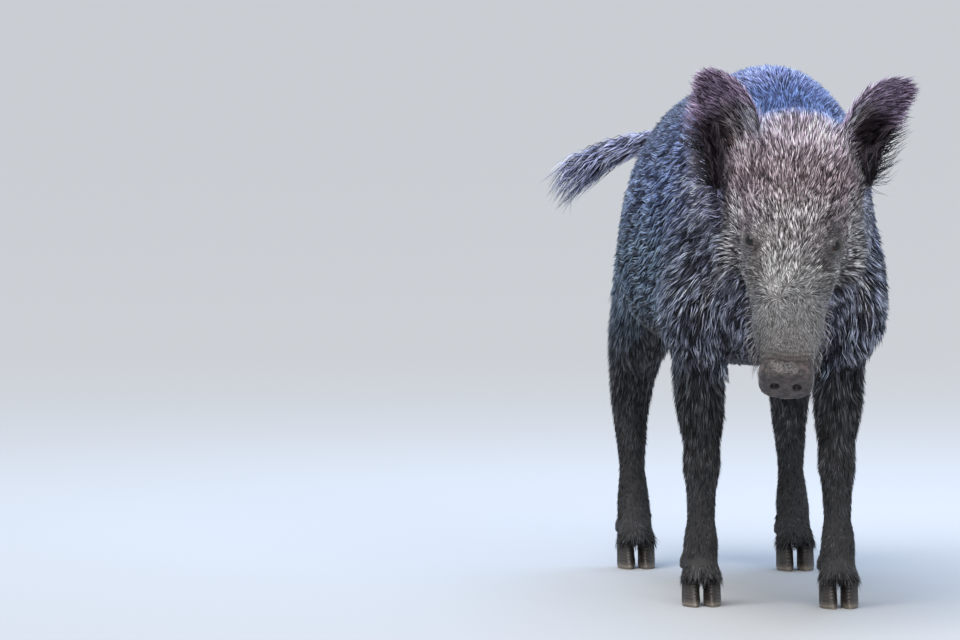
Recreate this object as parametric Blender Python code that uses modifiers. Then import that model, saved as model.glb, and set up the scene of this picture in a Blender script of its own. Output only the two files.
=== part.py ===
"""A wild boar sow standing still, life size, head lowered, tail swept to one side.

Metres, +Z up. The sow faces -Y and her left side is +X. The solids reach the tips of the coat.
The flesh is modelled whole from lofts and muscle forms, fused, and parted with thin cuts.
"""

from math import cos, pi, radians, sin

import bmesh
import bpy
import numpy as np
from mathutils import Matrix, Vector

# Driving dimensions, in metres and degrees.
GAP = 0.0003
FLESH_VOXEL = 0.0045
BODY_TRIANGLES = 3700
HEAD_TRIANGLES = 10500
SMOOTHING_PASSES = 12
RINGS_PER_SPAN = 5
POINTS_AROUND = 36

POLL_FORWARD = 0.290
POLL_HEIGHT = 0.650
HEAD_LENGTH = 0.362
HEAD_PITCH = 60.0
HEAD_YAW = -6.5
HEAD_ROLL = 3.5

EYE_RADIUS = 0.0125
EYE_SPREAD = 0.0495
EYE_ALONG = 0.161
EYE_HEIGHT = -0.024

EAR_LENGTH = 0.152
EAR_WIDTH = 0.081
EAR_THICKNESS = 0.007

FRONT_STANCE = 0.088
HIND_STANCE = 0.106
CORONET_FRONT = 0.036
CORONET_BACK = 0.027
CLAW_LENGTH = 0.058
CLAW_WIDTH = 0.0245
CLEFT = 0.004

COAT = (0.055, 0.060, 0.080)
FACE_COAT = (0.20, 0.165, 0.150)
EAR_COAT = (0.035, 0.027, 0.030)
SNOUT_SKIN = (0.060, 0.045, 0.045)
CLAW_HORN = (0.045, 0.038, 0.034)
EYE_BROWN = (0.012, 0.007, 0.004)


def clear_scene():
    for item in list(bpy.data.objects):
        bpy.data.objects.remove(item)


def make_collections():
    """The sow's own collection, and one for cutters and rough forms."""
    made = []
    for name in ("wild_boar", "cutters"):
        collection = bpy.data.collections.new(name)
        bpy.context.scene.collection.children.link(collection)
        made.append(collection)
    return made


def make_material(name, colour, roughness):
    material = bpy.data.materials.new(name)
    material.use_nodes = True
    shader = material.node_tree.nodes["Principled BSDF"]
    shader.inputs["Base Color"].default_value = (*colour, 1.0)
    shader.inputs["Roughness"].default_value = roughness
    shader.inputs["Metallic"].default_value = 0.0
    return material


def place(forward, height, lateral=0.0):
    """A point by how far it lies forward of the withers, its height and its offset to the left."""
    return Vector((lateral, -forward, height))


def object_from(bm, name, collection):
    bmesh.ops.recalc_face_normals(bm, faces=bm.faces)
    mesh = bpy.data.meshes.new(name)
    bm.to_mesh(mesh)
    bm.free()
    made = bpy.data.objects.new(name, mesh)
    collection.objects.link(made)
    return made


def smooth_rows(rows, per_span=RINGS_PER_SPAN):
    """Catmull-Rom rows through the given ones."""
    rows = np.array(rows, float)
    padded = np.vstack([2 * rows[0] - rows[1], rows, 2 * rows[-1] - rows[-2]])
    made = []
    for k in range(1, len(padded) - 2):
        a, b, c, d = padded[k - 1 : k + 3]
        for step in range(per_span):
            t = step / per_span
            bend = 2 * a - 5 * b + 4 * c - d
            twist = 3 * b - a - 3 * c + d
            made.append(0.5 * (2 * b + (c - a) * t + bend * t**2 + twist * t**3))
    made.append(rows[-1])
    return np.array(made)


def egg_ring(half_width, rise, drop, roundness, count=POINTS_AROUND):
    """(across, up) points of a superellipse that rises and drops unevenly from its widest level."""
    points = []
    for k in range(count):
        angle = 2 * pi * k / count
        across = abs(cos(angle)) ** (2 / roundness) * (1 if cos(angle) > 0 else -1)
        up = abs(sin(angle)) ** (2 / roundness) * (rise if sin(angle) > 0 else -drop)
        points.append((half_width * across, up))
    return points


def bridge_rings(rings, name, collection):
    """A closed solid through rings of points."""
    bm = bmesh.new()
    loops = [[bm.verts.new(point) for point in ring] for ring in rings]
    for first, second in zip(loops, loops[1:]):
        for k in range(len(first)):
            after = (k + 1) % len(first)
            bm.faces.new((first[k], first[after], second[after], second[k]))
    bm.faces.new(loops[0])
    bm.faces.new(loops[-1])
    return object_from(bm, name, collection)


def body_loft(name, rows, collection, frame=Matrix()):
    """A loft along the forward direction.

    A row is forward, top, bottom, widest level, half width, roundness and lateral.
    """
    rings = []
    for forward, top, bottom, widest, half_width, roundness, lateral in smooth_rows(rows):
        ring = egg_ring(half_width, top - widest, widest - bottom, roundness)
        rings.append([frame @ place(forward, widest + up, lateral + across) for across, up in ring])
    return bridge_rings(rings, name, collection)


def limb_loft(name, rows, collection):
    """A loft down a limb.

    A row is forward, height, lateral, half depth ahead, half depth behind and half width.
    """
    rows = smooth_rows(rows)
    rings = []
    for k, (forward, height, lateral, ahead, behind, half_width) in enumerate(rows):
        before, after = rows[max(k - 1, 0)], rows[min(k + 1, len(rows) - 1)]
        along = place(*after[:3]) - place(*before[:3])
        front = Vector((1, 0, 0)).cross(along).normalized()
        if front.dot(Vector((0, -1, 0))) < 0:
            front.negate()
        side = Vector((1, 0, 0))
        centre = place(forward, height, lateral)
        ring = egg_ring(half_width, ahead, behind, 2.2, 28)
        rings.append([centre + side * across + front * up for across, up in ring])
    return bridge_rings(rings, name, collection)


def muscle(name, centre, radii, collection, tilt=0.0, splay=0.0, turn=0.0):
    """An ellipsoid of flesh: radii across, along and up, tilted nose-down, splayed sideways and turned."""
    bm = bmesh.new()
    bmesh.ops.create_uvsphere(bm, u_segments=32, v_segments=20, radius=1.0)
    turned = Matrix.Rotation(radians(turn), 4, "Z")
    turned = turned @ Matrix.Rotation(radians(splay), 4, "Y") @ Matrix.Rotation(radians(tilt), 4, "X")
    sized = Matrix.Diagonal((*radii, 1.0))
    bmesh.ops.transform(bm, matrix=Matrix.Translation(centre) @ turned @ sized, verts=bm.verts)
    return object_from(bm, name, collection)


def head_frame():
    """Carries a head that points straight forward from the poll into its lowered, turned place."""
    turned = Matrix.Rotation(radians(HEAD_YAW), 4, "Z") @ Matrix.Rotation(radians(HEAD_ROLL), 4, "Y")
    turned = turned @ Matrix.Rotation(radians(HEAD_PITCH), 4, "X")
    return Matrix.Translation(place(POLL_FORWARD, POLL_HEIGHT)) @ turned


def trunk_forms(collection):
    """The barrel from rump to breast, with shoulders, haunches and the hump of the withers."""
    rows = [
        (-0.652, 0.535, 0.450, 0.490, 0.034, 2.0, -0.002),
        (-0.638, 0.574, 0.405, 0.478, 0.072, 2.0, -0.001),
        (-0.600, 0.611, 0.372, 0.468, 0.100, 2.05, 0),
        (-0.530, 0.643, 0.356, 0.455, 0.122, 2.05, 0.001),
        (-0.440, 0.664, 0.346, 0.440, 0.142, 2.05, 0.001),
        (-0.340, 0.676, 0.324, 0.422, 0.160, 2.0, 0.001),
        (-0.240, 0.686, 0.308, 0.415, 0.168, 2.0, 0),
        (-0.140, 0.698, 0.306, 0.425, 0.160, 2.0, 0),
        (-0.040, 0.711, 0.314, 0.445, 0.147, 2.05, 0.001),
        (0.050, 0.713, 0.326, 0.475, 0.134, 2.05, 0.002),
        (0.130, 0.699, 0.348, 0.500, 0.117, 2.05, 0.001),
        (0.190, 0.670, 0.400, 0.530, 0.086, 2.0, 0.002),
    ]
    body_loft("rough_barrel", rows, collection)
    flesh = (
        ("rough_shoulder", (0.030, 0.490, 0.096), (0.044, 0.100, 0.150), -12, -14),
        ("rough_upper_arm", (0.040, 0.390, 0.100), (0.044, 0.078, 0.080), 20, 0),
        ("rough_haunch", (-0.520, 0.450, 0.076), (0.054, 0.110, 0.145), 12, -8),
        ("rough_stifle", (-0.440, 0.388, 0.100), (0.044, 0.068, 0.082), 26, 0),
        ("rough_buttock", (-0.590, 0.450, 0.060), (0.050, 0.056, 0.110), -8, 0),
    )
    for side in (-1, 1):
        for name, (forward, height, lateral), radii, tilt, splay in flesh:
            centre = place(forward, height, side * lateral)
            muscle(name, centre, radii, collection, tilt, side * splay)
    muscle("rough_brisket", place(0.105, 0.415, 0), (0.080, 0.085, 0.070), collection, -25)


def neck_forms(collection):
    """The thick neck, which drops from the withers to the poll and turns a little with the head."""
    rows = [
        (0.040, 0.711, 0.360, 0.520, 0.127, 2.05, 0.001),
        (0.120, 0.701, 0.362, 0.520, 0.121, 2.05, 0.001),
        (0.190, 0.683, 0.384, 0.525, 0.108, 2.0, -0.002),
        (0.250, 0.662, 0.418, 0.535, 0.096, 2.05, -0.003),
        (0.298, 0.635, 0.455, 0.548, 0.080, 2.1, -0.005),
    ]
    body_loft("rough_neck", rows, collection)
    for side in (-1, 1):
        muscle("rough_ear_root", place(0.212, 0.580, side * 0.062), (0.026, 0.034, 0.040), collection)


def head_forms(collection):
    """The long wedge of the head, its lower jaw, cheeks, brows and snout, in the head's own frame."""
    frame = head_frame()
    upper = [
        (-0.035, -0.028, -0.110, -0.070, 0.040, 2.0, 0),
        (-0.017, -0.002, -0.135, -0.070, 0.062, 2.2, 0),
        (0.022, 0.005, -0.150, -0.070, 0.073, 2.3, 0),
        (0.070, 0.007, -0.155, -0.075, 0.077, 2.3, 0),
        (0.115, 0.006, -0.150, -0.072, 0.076, 2.3, 0),
        (0.160, 0.000, -0.138, -0.068, 0.069, 2.3, 0),
        (0.200, -0.004, -0.120, -0.062, 0.058, 2.3, 0),
        (0.240, -0.006, -0.103, -0.056, 0.0475, 2.4, 0),
        (0.280, -0.006, -0.089, -0.049, 0.0405, 2.4, 0),
        (0.315, -0.004, -0.077, -0.042, 0.0360, 2.4, 0),
        (0.345, -0.001, -0.068, -0.036, 0.0345, 2.4, 0),
    ]
    lower = [
        (0.000, -0.080, -0.160, -0.120, 0.052, 2.2, 0),
        (0.050, -0.080, -0.176, -0.125, 0.064, 2.2, 0),
        (0.100, -0.080, -0.172, -0.120, 0.061, 2.2, 0),
        (0.150, -0.075, -0.156, -0.112, 0.052, 2.2, 0),
        (0.200, -0.070, -0.137, -0.100, 0.041, 2.2, 0),
        (0.250, -0.060, -0.118, -0.088, 0.032, 2.2, 0),
        (0.290, -0.055, -0.103, -0.078, 0.026, 2.2, 0),
        (0.318, -0.055, -0.090, -0.072, 0.018, 2.2, 0),
    ]
    body_loft("rough_skull", upper, collection, frame)
    body_loft("rough_jaw", lower, collection, frame)
    flesh = (
        ("rough_cheek", (0.132, -0.118, 0.060), (0.041, 0.064, 0.040), 10, 0, -10),
        ("rough_jowl", (0.060, -0.128, 0.058), (0.040, 0.066, 0.050), 12, 0, 0),
        ("rough_brow", (0.131, -0.010, 0.043), (0.017, 0.032, 0.013), 4, 28, -12),
        ("rough_muzzle", (0.262, -0.046, 0.022), (0.024, 0.060, 0.034), 5, 0, 0),
        ("rough_nostril_wing", (0.338, -0.032, 0.0185), (0.0175, 0.020, 0.026), 0, 0, 0),
    )
    forms = []
    for side in (-1, 1):
        for name, (along, height, across), radii, tilt, splay, turn in flesh:
            centre = place(along, height, side * across)
            forms.append(muscle(name, centre, radii, collection, tilt, side * splay, side * turn))
    forms.append(muscle("rough_nose_bridge", place(0.250, -0.018, 0), (0.028, 0.095, 0.015), collection, 2))
    for form in forms:
        form.data.transform(frame)


def tail_form(collection):
    """The tail with its tassel, swept out to the sow's right from the top of the rump."""
    rows = [
        (-0.585, 0.586, 0.020, 0.020, 0.020),
        (-0.632, 0.583, -0.012, 0.019, 0.019),
        (-0.655, 0.578, -0.055, 0.017, 0.0170),
        (-0.660, 0.573, -0.095, 0.017, 0.0175),
        (-0.657, 0.563, -0.135, 0.019, 0.0245),
        (-0.650, 0.547, -0.168, 0.018, 0.0290),
        (-0.645, 0.530, -0.197, 0.012, 0.0205),
        (-0.641, 0.509, -0.219, 0.006, 0.0100),
        (-0.638, 0.496, -0.231, 0.002, 0.0030),
    ]
    rows = smooth_rows(rows, 2)
    rings = []
    for k, (forward, height, lateral, half_depth, half_height) in enumerate(rows):
        before, after = rows[max(k - 1, 0)], rows[min(k + 1, len(rows) - 1)]
        along = (place(*after[:3]) - place(*before[:3])).normalized()
        across = along.cross(Vector((0, 0, 1))).normalized()
        up = across.cross(along)
        ring = egg_ring(half_depth, half_height, half_height, 2.0, 10)
        centre = place(forward, height, lateral)
        rings.append([centre + across * a + up * b for a, b in ring])
    return bridge_rings(rings, "rough_tail", collection)


FRONT_FEET = {"right": (-1, -0.005), "left": (1, 0.040)}
HIND_FEET = {"right": (-1, -0.552), "left": (1, -0.500)}


def front_leg(side, foot, collection):
    """Forearm, wrist, short cannon and pastern, straight under the shoulder."""
    stance = side * FRONT_STANCE
    elbow = 0.012
    rows = [
        (elbow + 0.018, 0.430, side * 0.096, 0.070, 0.084, 0.038),
        (elbow + 0.010, 0.370, side * 0.095, 0.060, 0.074, 0.039),
        (elbow - 0.002, 0.320, side * 0.093, 0.049, 0.058, 0.038),
        (elbow + 0.20 * (foot - elbow), 0.265, side * 0.091, 0.039, 0.041, 0.034),
        (elbow + 0.45 * (foot - elbow), 0.215, stance, 0.031, 0.030, 0.0275),
        (elbow + 0.60 * (foot - elbow), 0.185, stance, 0.031, 0.027, 0.0285),
        (elbow + 0.72 * (foot - elbow), 0.155, stance, 0.0255, 0.025, 0.0240),
        (elbow + 0.85 * (foot - elbow), 0.115, stance, 0.0220, 0.0235, 0.0215),
        (elbow + 0.95 * (foot - elbow), 0.084, stance, 0.0235, 0.0280, 0.0250),
        (foot - 0.002, 0.058, stance, 0.0225, 0.0235, 0.0245),
        (foot + 0.008, 0.036, stance, 0.0270, 0.0255, 0.0285),
        (foot + 0.011, 0.018, stance, 0.0275, 0.0265, 0.0290),
    ]
    return limb_loft("rough_front_leg", rows, collection)


def hind_leg(side, foot, collection):
    """Thigh, gaskin, hock set well back, cannon and pastern."""
    stance = side * HIND_STANCE
    hock = foot - 0.052
    rows = [
        (-0.490, 0.490, side * 0.080, 0.098, 0.105, 0.046),
        (-0.485, 0.430, side * 0.090, 0.098, 0.106, 0.050),
        (-0.492, 0.370, side * 0.098, 0.086, 0.088, 0.047),
        (0.45 * hock + 0.55 * -0.508, 0.315, side * 0.104, 0.062, 0.062, 0.041),
        (0.80 * hock + 0.20 * -0.508, 0.265, stance, 0.044, 0.043, 0.033),
        (hock, 0.218, stance, 0.033, 0.038, 0.0280),
        (hock + 0.006, 0.180, stance, 0.0275, 0.028, 0.0245),
        (hock + 0.018, 0.130, stance, 0.0225, 0.0220, 0.0210),
        (hock + 0.030, 0.090, stance, 0.0235, 0.0265, 0.0245),
        (hock + 0.044, 0.060, stance, 0.0225, 0.0235, 0.0240),
        (foot + 0.008, 0.036, stance, 0.0265, 0.0255, 0.0280),
        (foot + 0.011, 0.018, stance, 0.0270, 0.0265, 0.0285),
    ]
    return limb_loft("rough_hind_leg", rows, collection)


def feet():
    """(name, side, lateral centre, forward centre) of each foot."""
    found = []
    for word, (side, foot) in FRONT_FEET.items():
        found.append((f"front_{word}", side, side * FRONT_STANCE, foot))
    for word, (side, foot) in HIND_FEET.items():
        found.append((f"hind_{word}", side, side * HIND_STANCE, foot))
    return found


def coronet_level(forward, foot):
    """Height of the sloping line where hair meets horn."""
    share = (forward - foot + CLAW_LENGTH / 2) / CLAW_LENGTH
    return CORONET_BACK + (CORONET_FRONT - CORONET_BACK) * share


def claw(name, lateral, foot, side, collection):
    """One main claw: a flat sole, a pointed toe that slopes back, and a top on the coronet's slope."""
    count = 12
    rings = []
    for level in (0.0, 0.15, 1.0):
        ring = []
        for k in range(count):
            angle = 2 * pi * k / count
            reach = cos(angle)
            pinch = 1 - 0.42 * max(reach, 0) ** 1.6
            swell = 0.93 if level == 0 else 1.0
            across = sin(angle) * CLAW_WIDTH / 2 * pinch * swell * (1 - 0.06 * level)
            lean = 0.020 * level * max(reach, 0) ** 0.7 + 0.006 * level
            forward = foot + 0.012 + reach * CLAW_LENGTH / 2 * swell - lean
            height = coronet_level(forward, foot) * level - (GAP if level == 1 else 0)
            curl = side * 0.0035 * max(reach, 0) ** 2
            ring.append(place(forward, height, lateral + across - curl))
        rings.append(ring)
    return bridge_rings(rings, name, collection)


def dewclaw(name, lateral, foot, side, collection, grown=0.0):
    """A small blunt claw behind the pastern, pointing down, back and out."""
    root = place(foot - 0.008, 0.074, lateral)
    tip = place(foot - 0.034, 0.046, lateral + side * 0.007)
    along = (tip - root).normalized()
    across = along.cross(Vector((1, 0, 0))).normalized()
    wide = across.cross(along)
    rings = []
    for share, radius in ((0.0, 0.0085), (0.60, 0.0085), (0.90, 0.0055), (1.0, 0.0024)):
        centre = root + (tip - root) * share - along * grown * (share == 0) + along * grown * (share == 1)
        reach = radius + grown
        angles = [2 * pi * k / 8 for k in range(8)]
        rings.append([centre + wide * reach * cos(a) + across * reach * 0.8 * sin(a) for a in angles])
    return bridge_rings(rings, name, collection)


def ear(name, root, middle, tip, opening, collection):
    """A cupped leaf on a bent centreline: rolled at its root and open towards its blunt tip."""
    rows = [
        (0.00, 0.29, 118),
        (0.14, 0.385, 104),
        (0.28, 0.460, 90),
        (0.44, 0.500, 76),
        (0.60, 0.505, 64),
        (0.74, 0.475, 55),
        (0.86, 0.400, 48),
        (0.95, 0.270, 43),
        (1.00, 0.120, 40),
    ]
    bm = bmesh.new()
    grid = []
    for share, width_share, half_angle in rows:
        half_width = EAR_WIDTH * width_share
        half_angle = radians(half_angle)
        radius = half_width / sin(min(half_angle, pi / 2))
        centre = root * (1 - share) ** 2 + middle * 2 * share * (1 - share) + tip * share**2
        along = ((middle - root) * (1 - share) + (tip - middle) * share).normalized()
        facing = (opening - along * opening.dot(along)).normalized()
        across = along.cross(facing)
        row = []
        for k in range(9):
            angle = half_angle * (k / 4 - 1)
            spot = centre + across * radius * sin(angle) + facing * radius * (1 - cos(angle))
            row.append(bm.verts.new(spot))
        grid.append(row)
    for first, second in zip(grid, grid[1:]):
        for k in range(8):
            bm.faces.new((first[k], first[k + 1], second[k + 1], second[k]))
    made = object_from(bm, name, collection)
    wall = made.modifiers.new("wall", "SOLIDIFY")
    wall.thickness = EAR_THICKNESS
    wall.offset = 0.0
    wall.use_even_offset = False
    return made


def baked(source, name, collection):
    """The evaluated mesh of an object as a new one, and the source removed."""
    bpy.context.view_layer.update()
    graph = bpy.context.evaluated_depsgraph_get()
    mesh = bpy.data.meshes.new_from_object(source.evaluated_get(graph))
    mesh.transform(source.matrix_world)
    made = bpy.data.objects.new(name, mesh)
    collection.objects.link(made)
    bpy.data.objects.remove(source)
    return made


def joined(sources, name, collection):
    bm = bmesh.new()
    for source in sources:
        bm.from_mesh(source.data)
        bpy.data.objects.remove(source)
    mesh = bpy.data.meshes.new(name)
    bm.to_mesh(mesh)
    bm.free()
    made = bpy.data.objects.new(name, mesh)
    collection.objects.link(made)
    return made


def fuse_flesh(collection):
    """All rough forms as one smooth skin-tight solid."""
    rough = [item for item in collection.objects if item.name.startswith("rough_")]
    flesh = joined(rough, "flesh_rough", collection)
    remesh = flesh.modifiers.new("fuse", "REMESH")
    remesh.mode = "VOXEL"
    remesh.voxel_size = FLESH_VOXEL
    soften = flesh.modifiers.new("soften", "SMOOTH")
    soften.factor = 0.5
    soften.iterations = SMOOTHING_PASSES
    return baked(flesh, "flesh_fine", collection)


def thinned(fine, triangles, name, collection):
    """A copy of the fused flesh with about so many triangles."""
    made = bpy.data.objects.new(name, fine.data.copy())
    collection.objects.link(made)
    thin = made.modifiers.new("thin", "DECIMATE")
    thin.ratio = triangles / (2 * len(fine.data.polygons))
    return baked(made, name, collection)


def wedge(name, corners_low, corners_high, collection):
    """A solid block between two outlines of equal length."""
    return bridge_rings([corners_low, corners_high], name, collection)


def slab(name, centre, normal, half_size, depth, collection):
    """A block whose one face passes through centre, on the side that the normal points to."""
    bm = bmesh.new()
    bmesh.ops.create_cube(bm, size=1.0)
    bmesh.ops.scale(bm, vec=(2 * half_size, 2 * half_size, depth), verts=bm.verts)
    bmesh.ops.translate(bm, vec=(0, 0, depth / 2), verts=bm.verts)
    turned = normal.to_track_quat("Z", "Y").to_matrix().to_4x4()
    bmesh.ops.transform(bm, matrix=Matrix.Translation(centre) @ turned, verts=bm.verts)
    return object_from(bm, name, collection)


def grown(source, by, name, collection):
    """A copy of a convex cutter with each vertex moved out."""
    made = bpy.data.objects.new(name, source.data.copy())
    collection.objects.link(made)
    bm = bmesh.new()
    bm.from_mesh(made.data)
    bm.normal_update()
    moves = {}
    for vertex in bm.verts:
        normals = []
        for face in vertex.link_faces:
            if all(face.normal.dot(other) < 0.999 for other in normals):
                normals.append(face.normal.copy())
        moves[vertex] = sum((normal * by for normal in normals[:3]), Vector())
    for vertex, move in moves.items():
        vertex.co += move
    bm.to_mesh(made.data)
    bm.free()
    return made


def cut(source, cutter, operation, name, collection):
    """A new object: source and cutter combined, both kept."""
    made = bpy.data.objects.new(name, source.data.copy())
    collection.objects.link(made)
    boolean = made.modifiers.new("cut", "BOOLEAN")
    boolean.operation = operation
    boolean.object = cutter
    boolean.solver = "EXACT"
    return baked(made, name, collection)


def part_off(flesh, cutter, name, collection):
    """(the piece of flesh inside the cutter, the rest of it), a gap apart."""
    wide = grown(cutter, GAP, cutter.name + "_wide", collection)
    piece = cut(flesh, cutter, "INTERSECT", name, collection)
    rest = cut(flesh, wide, "DIFFERENCE", "flesh", collection)
    bpy.data.objects.remove(flesh)
    return piece, rest


def leg_block(name, side, back, front, top_inner, top_outer, collection):
    """The space that holds one leg: under a sloping top, from near the midline outwards."""
    inner, outer = side * 0.022, side * 0.30
    low = [place(f, -0.01, x) for f, x in ((back, inner), (front, inner), (front, outer), (back, outer))]
    tops = ((inner, top_inner), (inner, top_inner), (outer, top_outer), (outer, top_outer))
    high = [place(f, z, x) for f, (x, z) in zip((back, front, front, back), tops)]
    return wedge(name, low, high, collection)


def coronet_block(name, lateral, foot, collection):
    """What lies under the coronet's slope of one foot."""
    slope = (CORONET_FRONT - CORONET_BACK) / CLAW_LENGTH
    normal = Vector((0, -slope, -1)).normalized()
    level = coronet_level(foot, foot)
    return slab(name, place(foot, level, lateral), normal, 0.09, 0.09, collection)


def set_material(item, material):
    item.data.materials.clear()
    item.data.materials.append(material)


def finish_piece(item, name, material, home):
    item.name = name
    item.data.name = name
    for collection in list(item.users_collection):
        collection.objects.unlink(item)
    home.objects.link(item)
    set_material(item, material)


def build_legs(flesh, home, cutters, coat):
    """Parts off the four legs, trims each at its coronet and cuts the dewclaws' beds."""
    spans = {"front": (-0.090, 0.160, 0.284, 0.450), "hind": (-0.700, -0.380, 0.296, 0.510)}
    for name, side, lateral, foot in feet():
        back, front, top_inner, top_outer = spans[name.split("_")[0]]
        block = leg_block(f"{name}_block", side, back, front, top_inner, top_outer, cutters)
        leg, flesh = part_off(flesh, block, f"leg_{name}", cutters)
        under = coronet_block(f"{name}_coronet", lateral, foot, cutters)
        leg = cut(leg, under, "DIFFERENCE", f"leg_{name}", cutters)
        for word, way in (("outer", side), ("inner", -side)):
            bed = dewclaw(f"bed_{name}_{word}", lateral + way * 0.013, foot, way, cutters, GAP)
            leg = cut(leg, bed, "DIFFERENCE", f"leg_{name}", cutters)
        finish_piece(leg, f"leg_{name}", coat, home)
    return flesh


def build_claws(home, horn):
    """Two main claws and two dewclaws on each foot."""
    for name, side, lateral, foot in feet():
        for word, way in (("outer", side), ("inner", -side)):
            offset = (CLAW_WIDTH + CLEFT) / 2
            main = claw(f"claw_{name}_{word}", lateral + way * offset, foot, way, home)
            small = dewclaw(f"dewclaw_{name}_{word}", lateral + way * 0.013, foot, way, home)
            set_material(main, horn)
            set_material(small, horn)


def round_ball(name, centre, radius, collection):
    bm = bmesh.new()
    bmesh.ops.create_uvsphere(bm, u_segments=10, v_segments=7, radius=radius)
    bmesh.ops.translate(bm, vec=centre, verts=bm.verts)
    return object_from(bm, name, collection)


def build_eyes(head, home, cutters, brown):
    """An eyeball each side and its socket in the head."""
    frame = head_frame()
    for word, side in (("right", -1), ("left", 1)):
        centre = frame @ place(EYE_ALONG, EYE_HEIGHT, side * EYE_SPREAD)
        socket = round_ball(f"socket_{word}", centre, EYE_RADIUS + GAP, cutters)
        head = cut(head, socket, "DIFFERENCE", "head", cutters)
        set_material(round_ball(f"eye_{word}", centre, EYE_RADIUS, home), brown)
    return head


def snout_disc(home, skin):
    """The bare disc at the end of the nose, with two nostrils sunk in it."""
    frame = head_frame()
    rings = []
    profile = (
        (0.3403, 0.94, 0),
        (0.3440, 1.00, 0),
        (0.3560, 1.03, -0.10),
        (0.3600, 0.97, -0.12),
        (HEAD_LENGTH, 0.82, -0.12),
    )
    for along, share, tilt in profile:
        ring = egg_ring(0.0345 * share, 0.0285 * share, 0.0300 * share, 2.5, 24)
        rings.append([frame @ place(along + tilt * up, -0.0345 + up, across) for across, up in ring])
    disc = bridge_rings(rings, "rough_snout", bpy.data.collections["cutters"])
    for side in (-1, 1):
        bm = bmesh.new()
        bmesh.ops.create_uvsphere(bm, u_segments=8, v_segments=6, radius=1.0)
        bmesh.ops.scale(bm, vec=(0.0062, 0.0110, 0.0085), verts=bm.verts)
        spot = place(HEAD_LENGTH, -0.0335, side * 0.0142)
        bmesh.ops.translate(bm, vec=spot, verts=bm.verts)
        bmesh.ops.transform(bm, matrix=frame, verts=bm.verts)
        hollow = object_from(bm, "nostril_cutter", bpy.data.collections["cutters"])
        disc = cut(disc, hollow, "DIFFERENCE", "snout", bpy.data.collections["cutters"])
    finish_piece(disc, "snout", skin, home)


def build_ears(flesh, home, cutters, coat):
    """Both ears, each trimmed where it meets the head."""
    ears = {
        "right": (
            place(0.250, 0.560, -0.076),
            place(0.250, 0.648, -0.066),
            place(0.290, 0.718, -0.124),
            Vector((-0.30, -0.95, 0.0)),
        ),
        "left": (
            place(0.246, 0.564, 0.060),
            place(0.242, 0.664, 0.058),
            place(0.280, 0.699, 0.148),
            Vector((0.62, -0.78, 0.0)),
        ),
    }
    body = bpy.data.objects.new("head_core", flesh.data.copy())
    cutters.objects.link(body)
    swell = body.modifiers.new("swell", "DISPLACE")
    swell.strength = 3 * GAP
    swell.mid_level = 0.0
    body = baked(body, "head_core", cutters)
    for word, (root, middle, tip, opening) in ears.items():
        leaf = baked(ear(f"ear_{word}", root, middle, tip, opening, cutters), f"ear_{word}", cutters)
        leaf = cut(leaf, body, "DIFFERENCE", f"ear_{word}", cutters)
        keep_largest(leaf)
        finish_piece(leaf, f"ear_{word}", coat, home)


def keep_largest(item):
    """Drops the scraps that a cut leaves behind."""
    bm = bmesh.new()
    bm.from_mesh(item.data)
    islands, seen = [], set()
    for start in bm.verts:
        if start in seen:
            continue
        island, todo = [], [start]
        seen.add(start)
        while todo:
            vertex = todo.pop()
            island.append(vertex)
            for edge in vertex.link_edges:
                other = edge.other_vert(vertex)
                if other not in seen:
                    seen.add(other)
                    todo.append(other)
        islands.append(island)
    islands.sort(key=len)
    for island in islands[:-1]:
        bmesh.ops.delete(bm, geom=island, context="VERTS")
    bm.to_mesh(item.data)
    bm.free()


def build_tail(flesh, home, cutters, coat):
    """The tail, trimmed where it leaves the rump."""
    body = bpy.data.objects.new("rump_core", flesh.data.copy())
    cutters.objects.link(body)
    swell = body.modifiers.new("swell", "DISPLACE")
    swell.strength = 3 * GAP
    swell.mid_level = 0.0
    body = baked(body, "rump_core", cutters)
    tail = cut(tail_form(cutters), body, "DIFFERENCE", "tail", cutters)
    keep_largest(tail)
    finish_piece(tail, "tail", coat, home)


def stand_on_origin(home):
    """Moves the sow so that the middle of her box's underside is the origin."""
    corners = np.array([vertex.co for item in home.objects for vertex in item.data.vertices])
    low, high = corners.min(axis=0), corners.max(axis=0)
    shift = Vector((-(low[0] + high[0]) / 2, -(low[1] + high[1]) / 2, -low[2]))
    for item in home.objects:
        item.data.transform(Matrix.Translation(shift))


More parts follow.
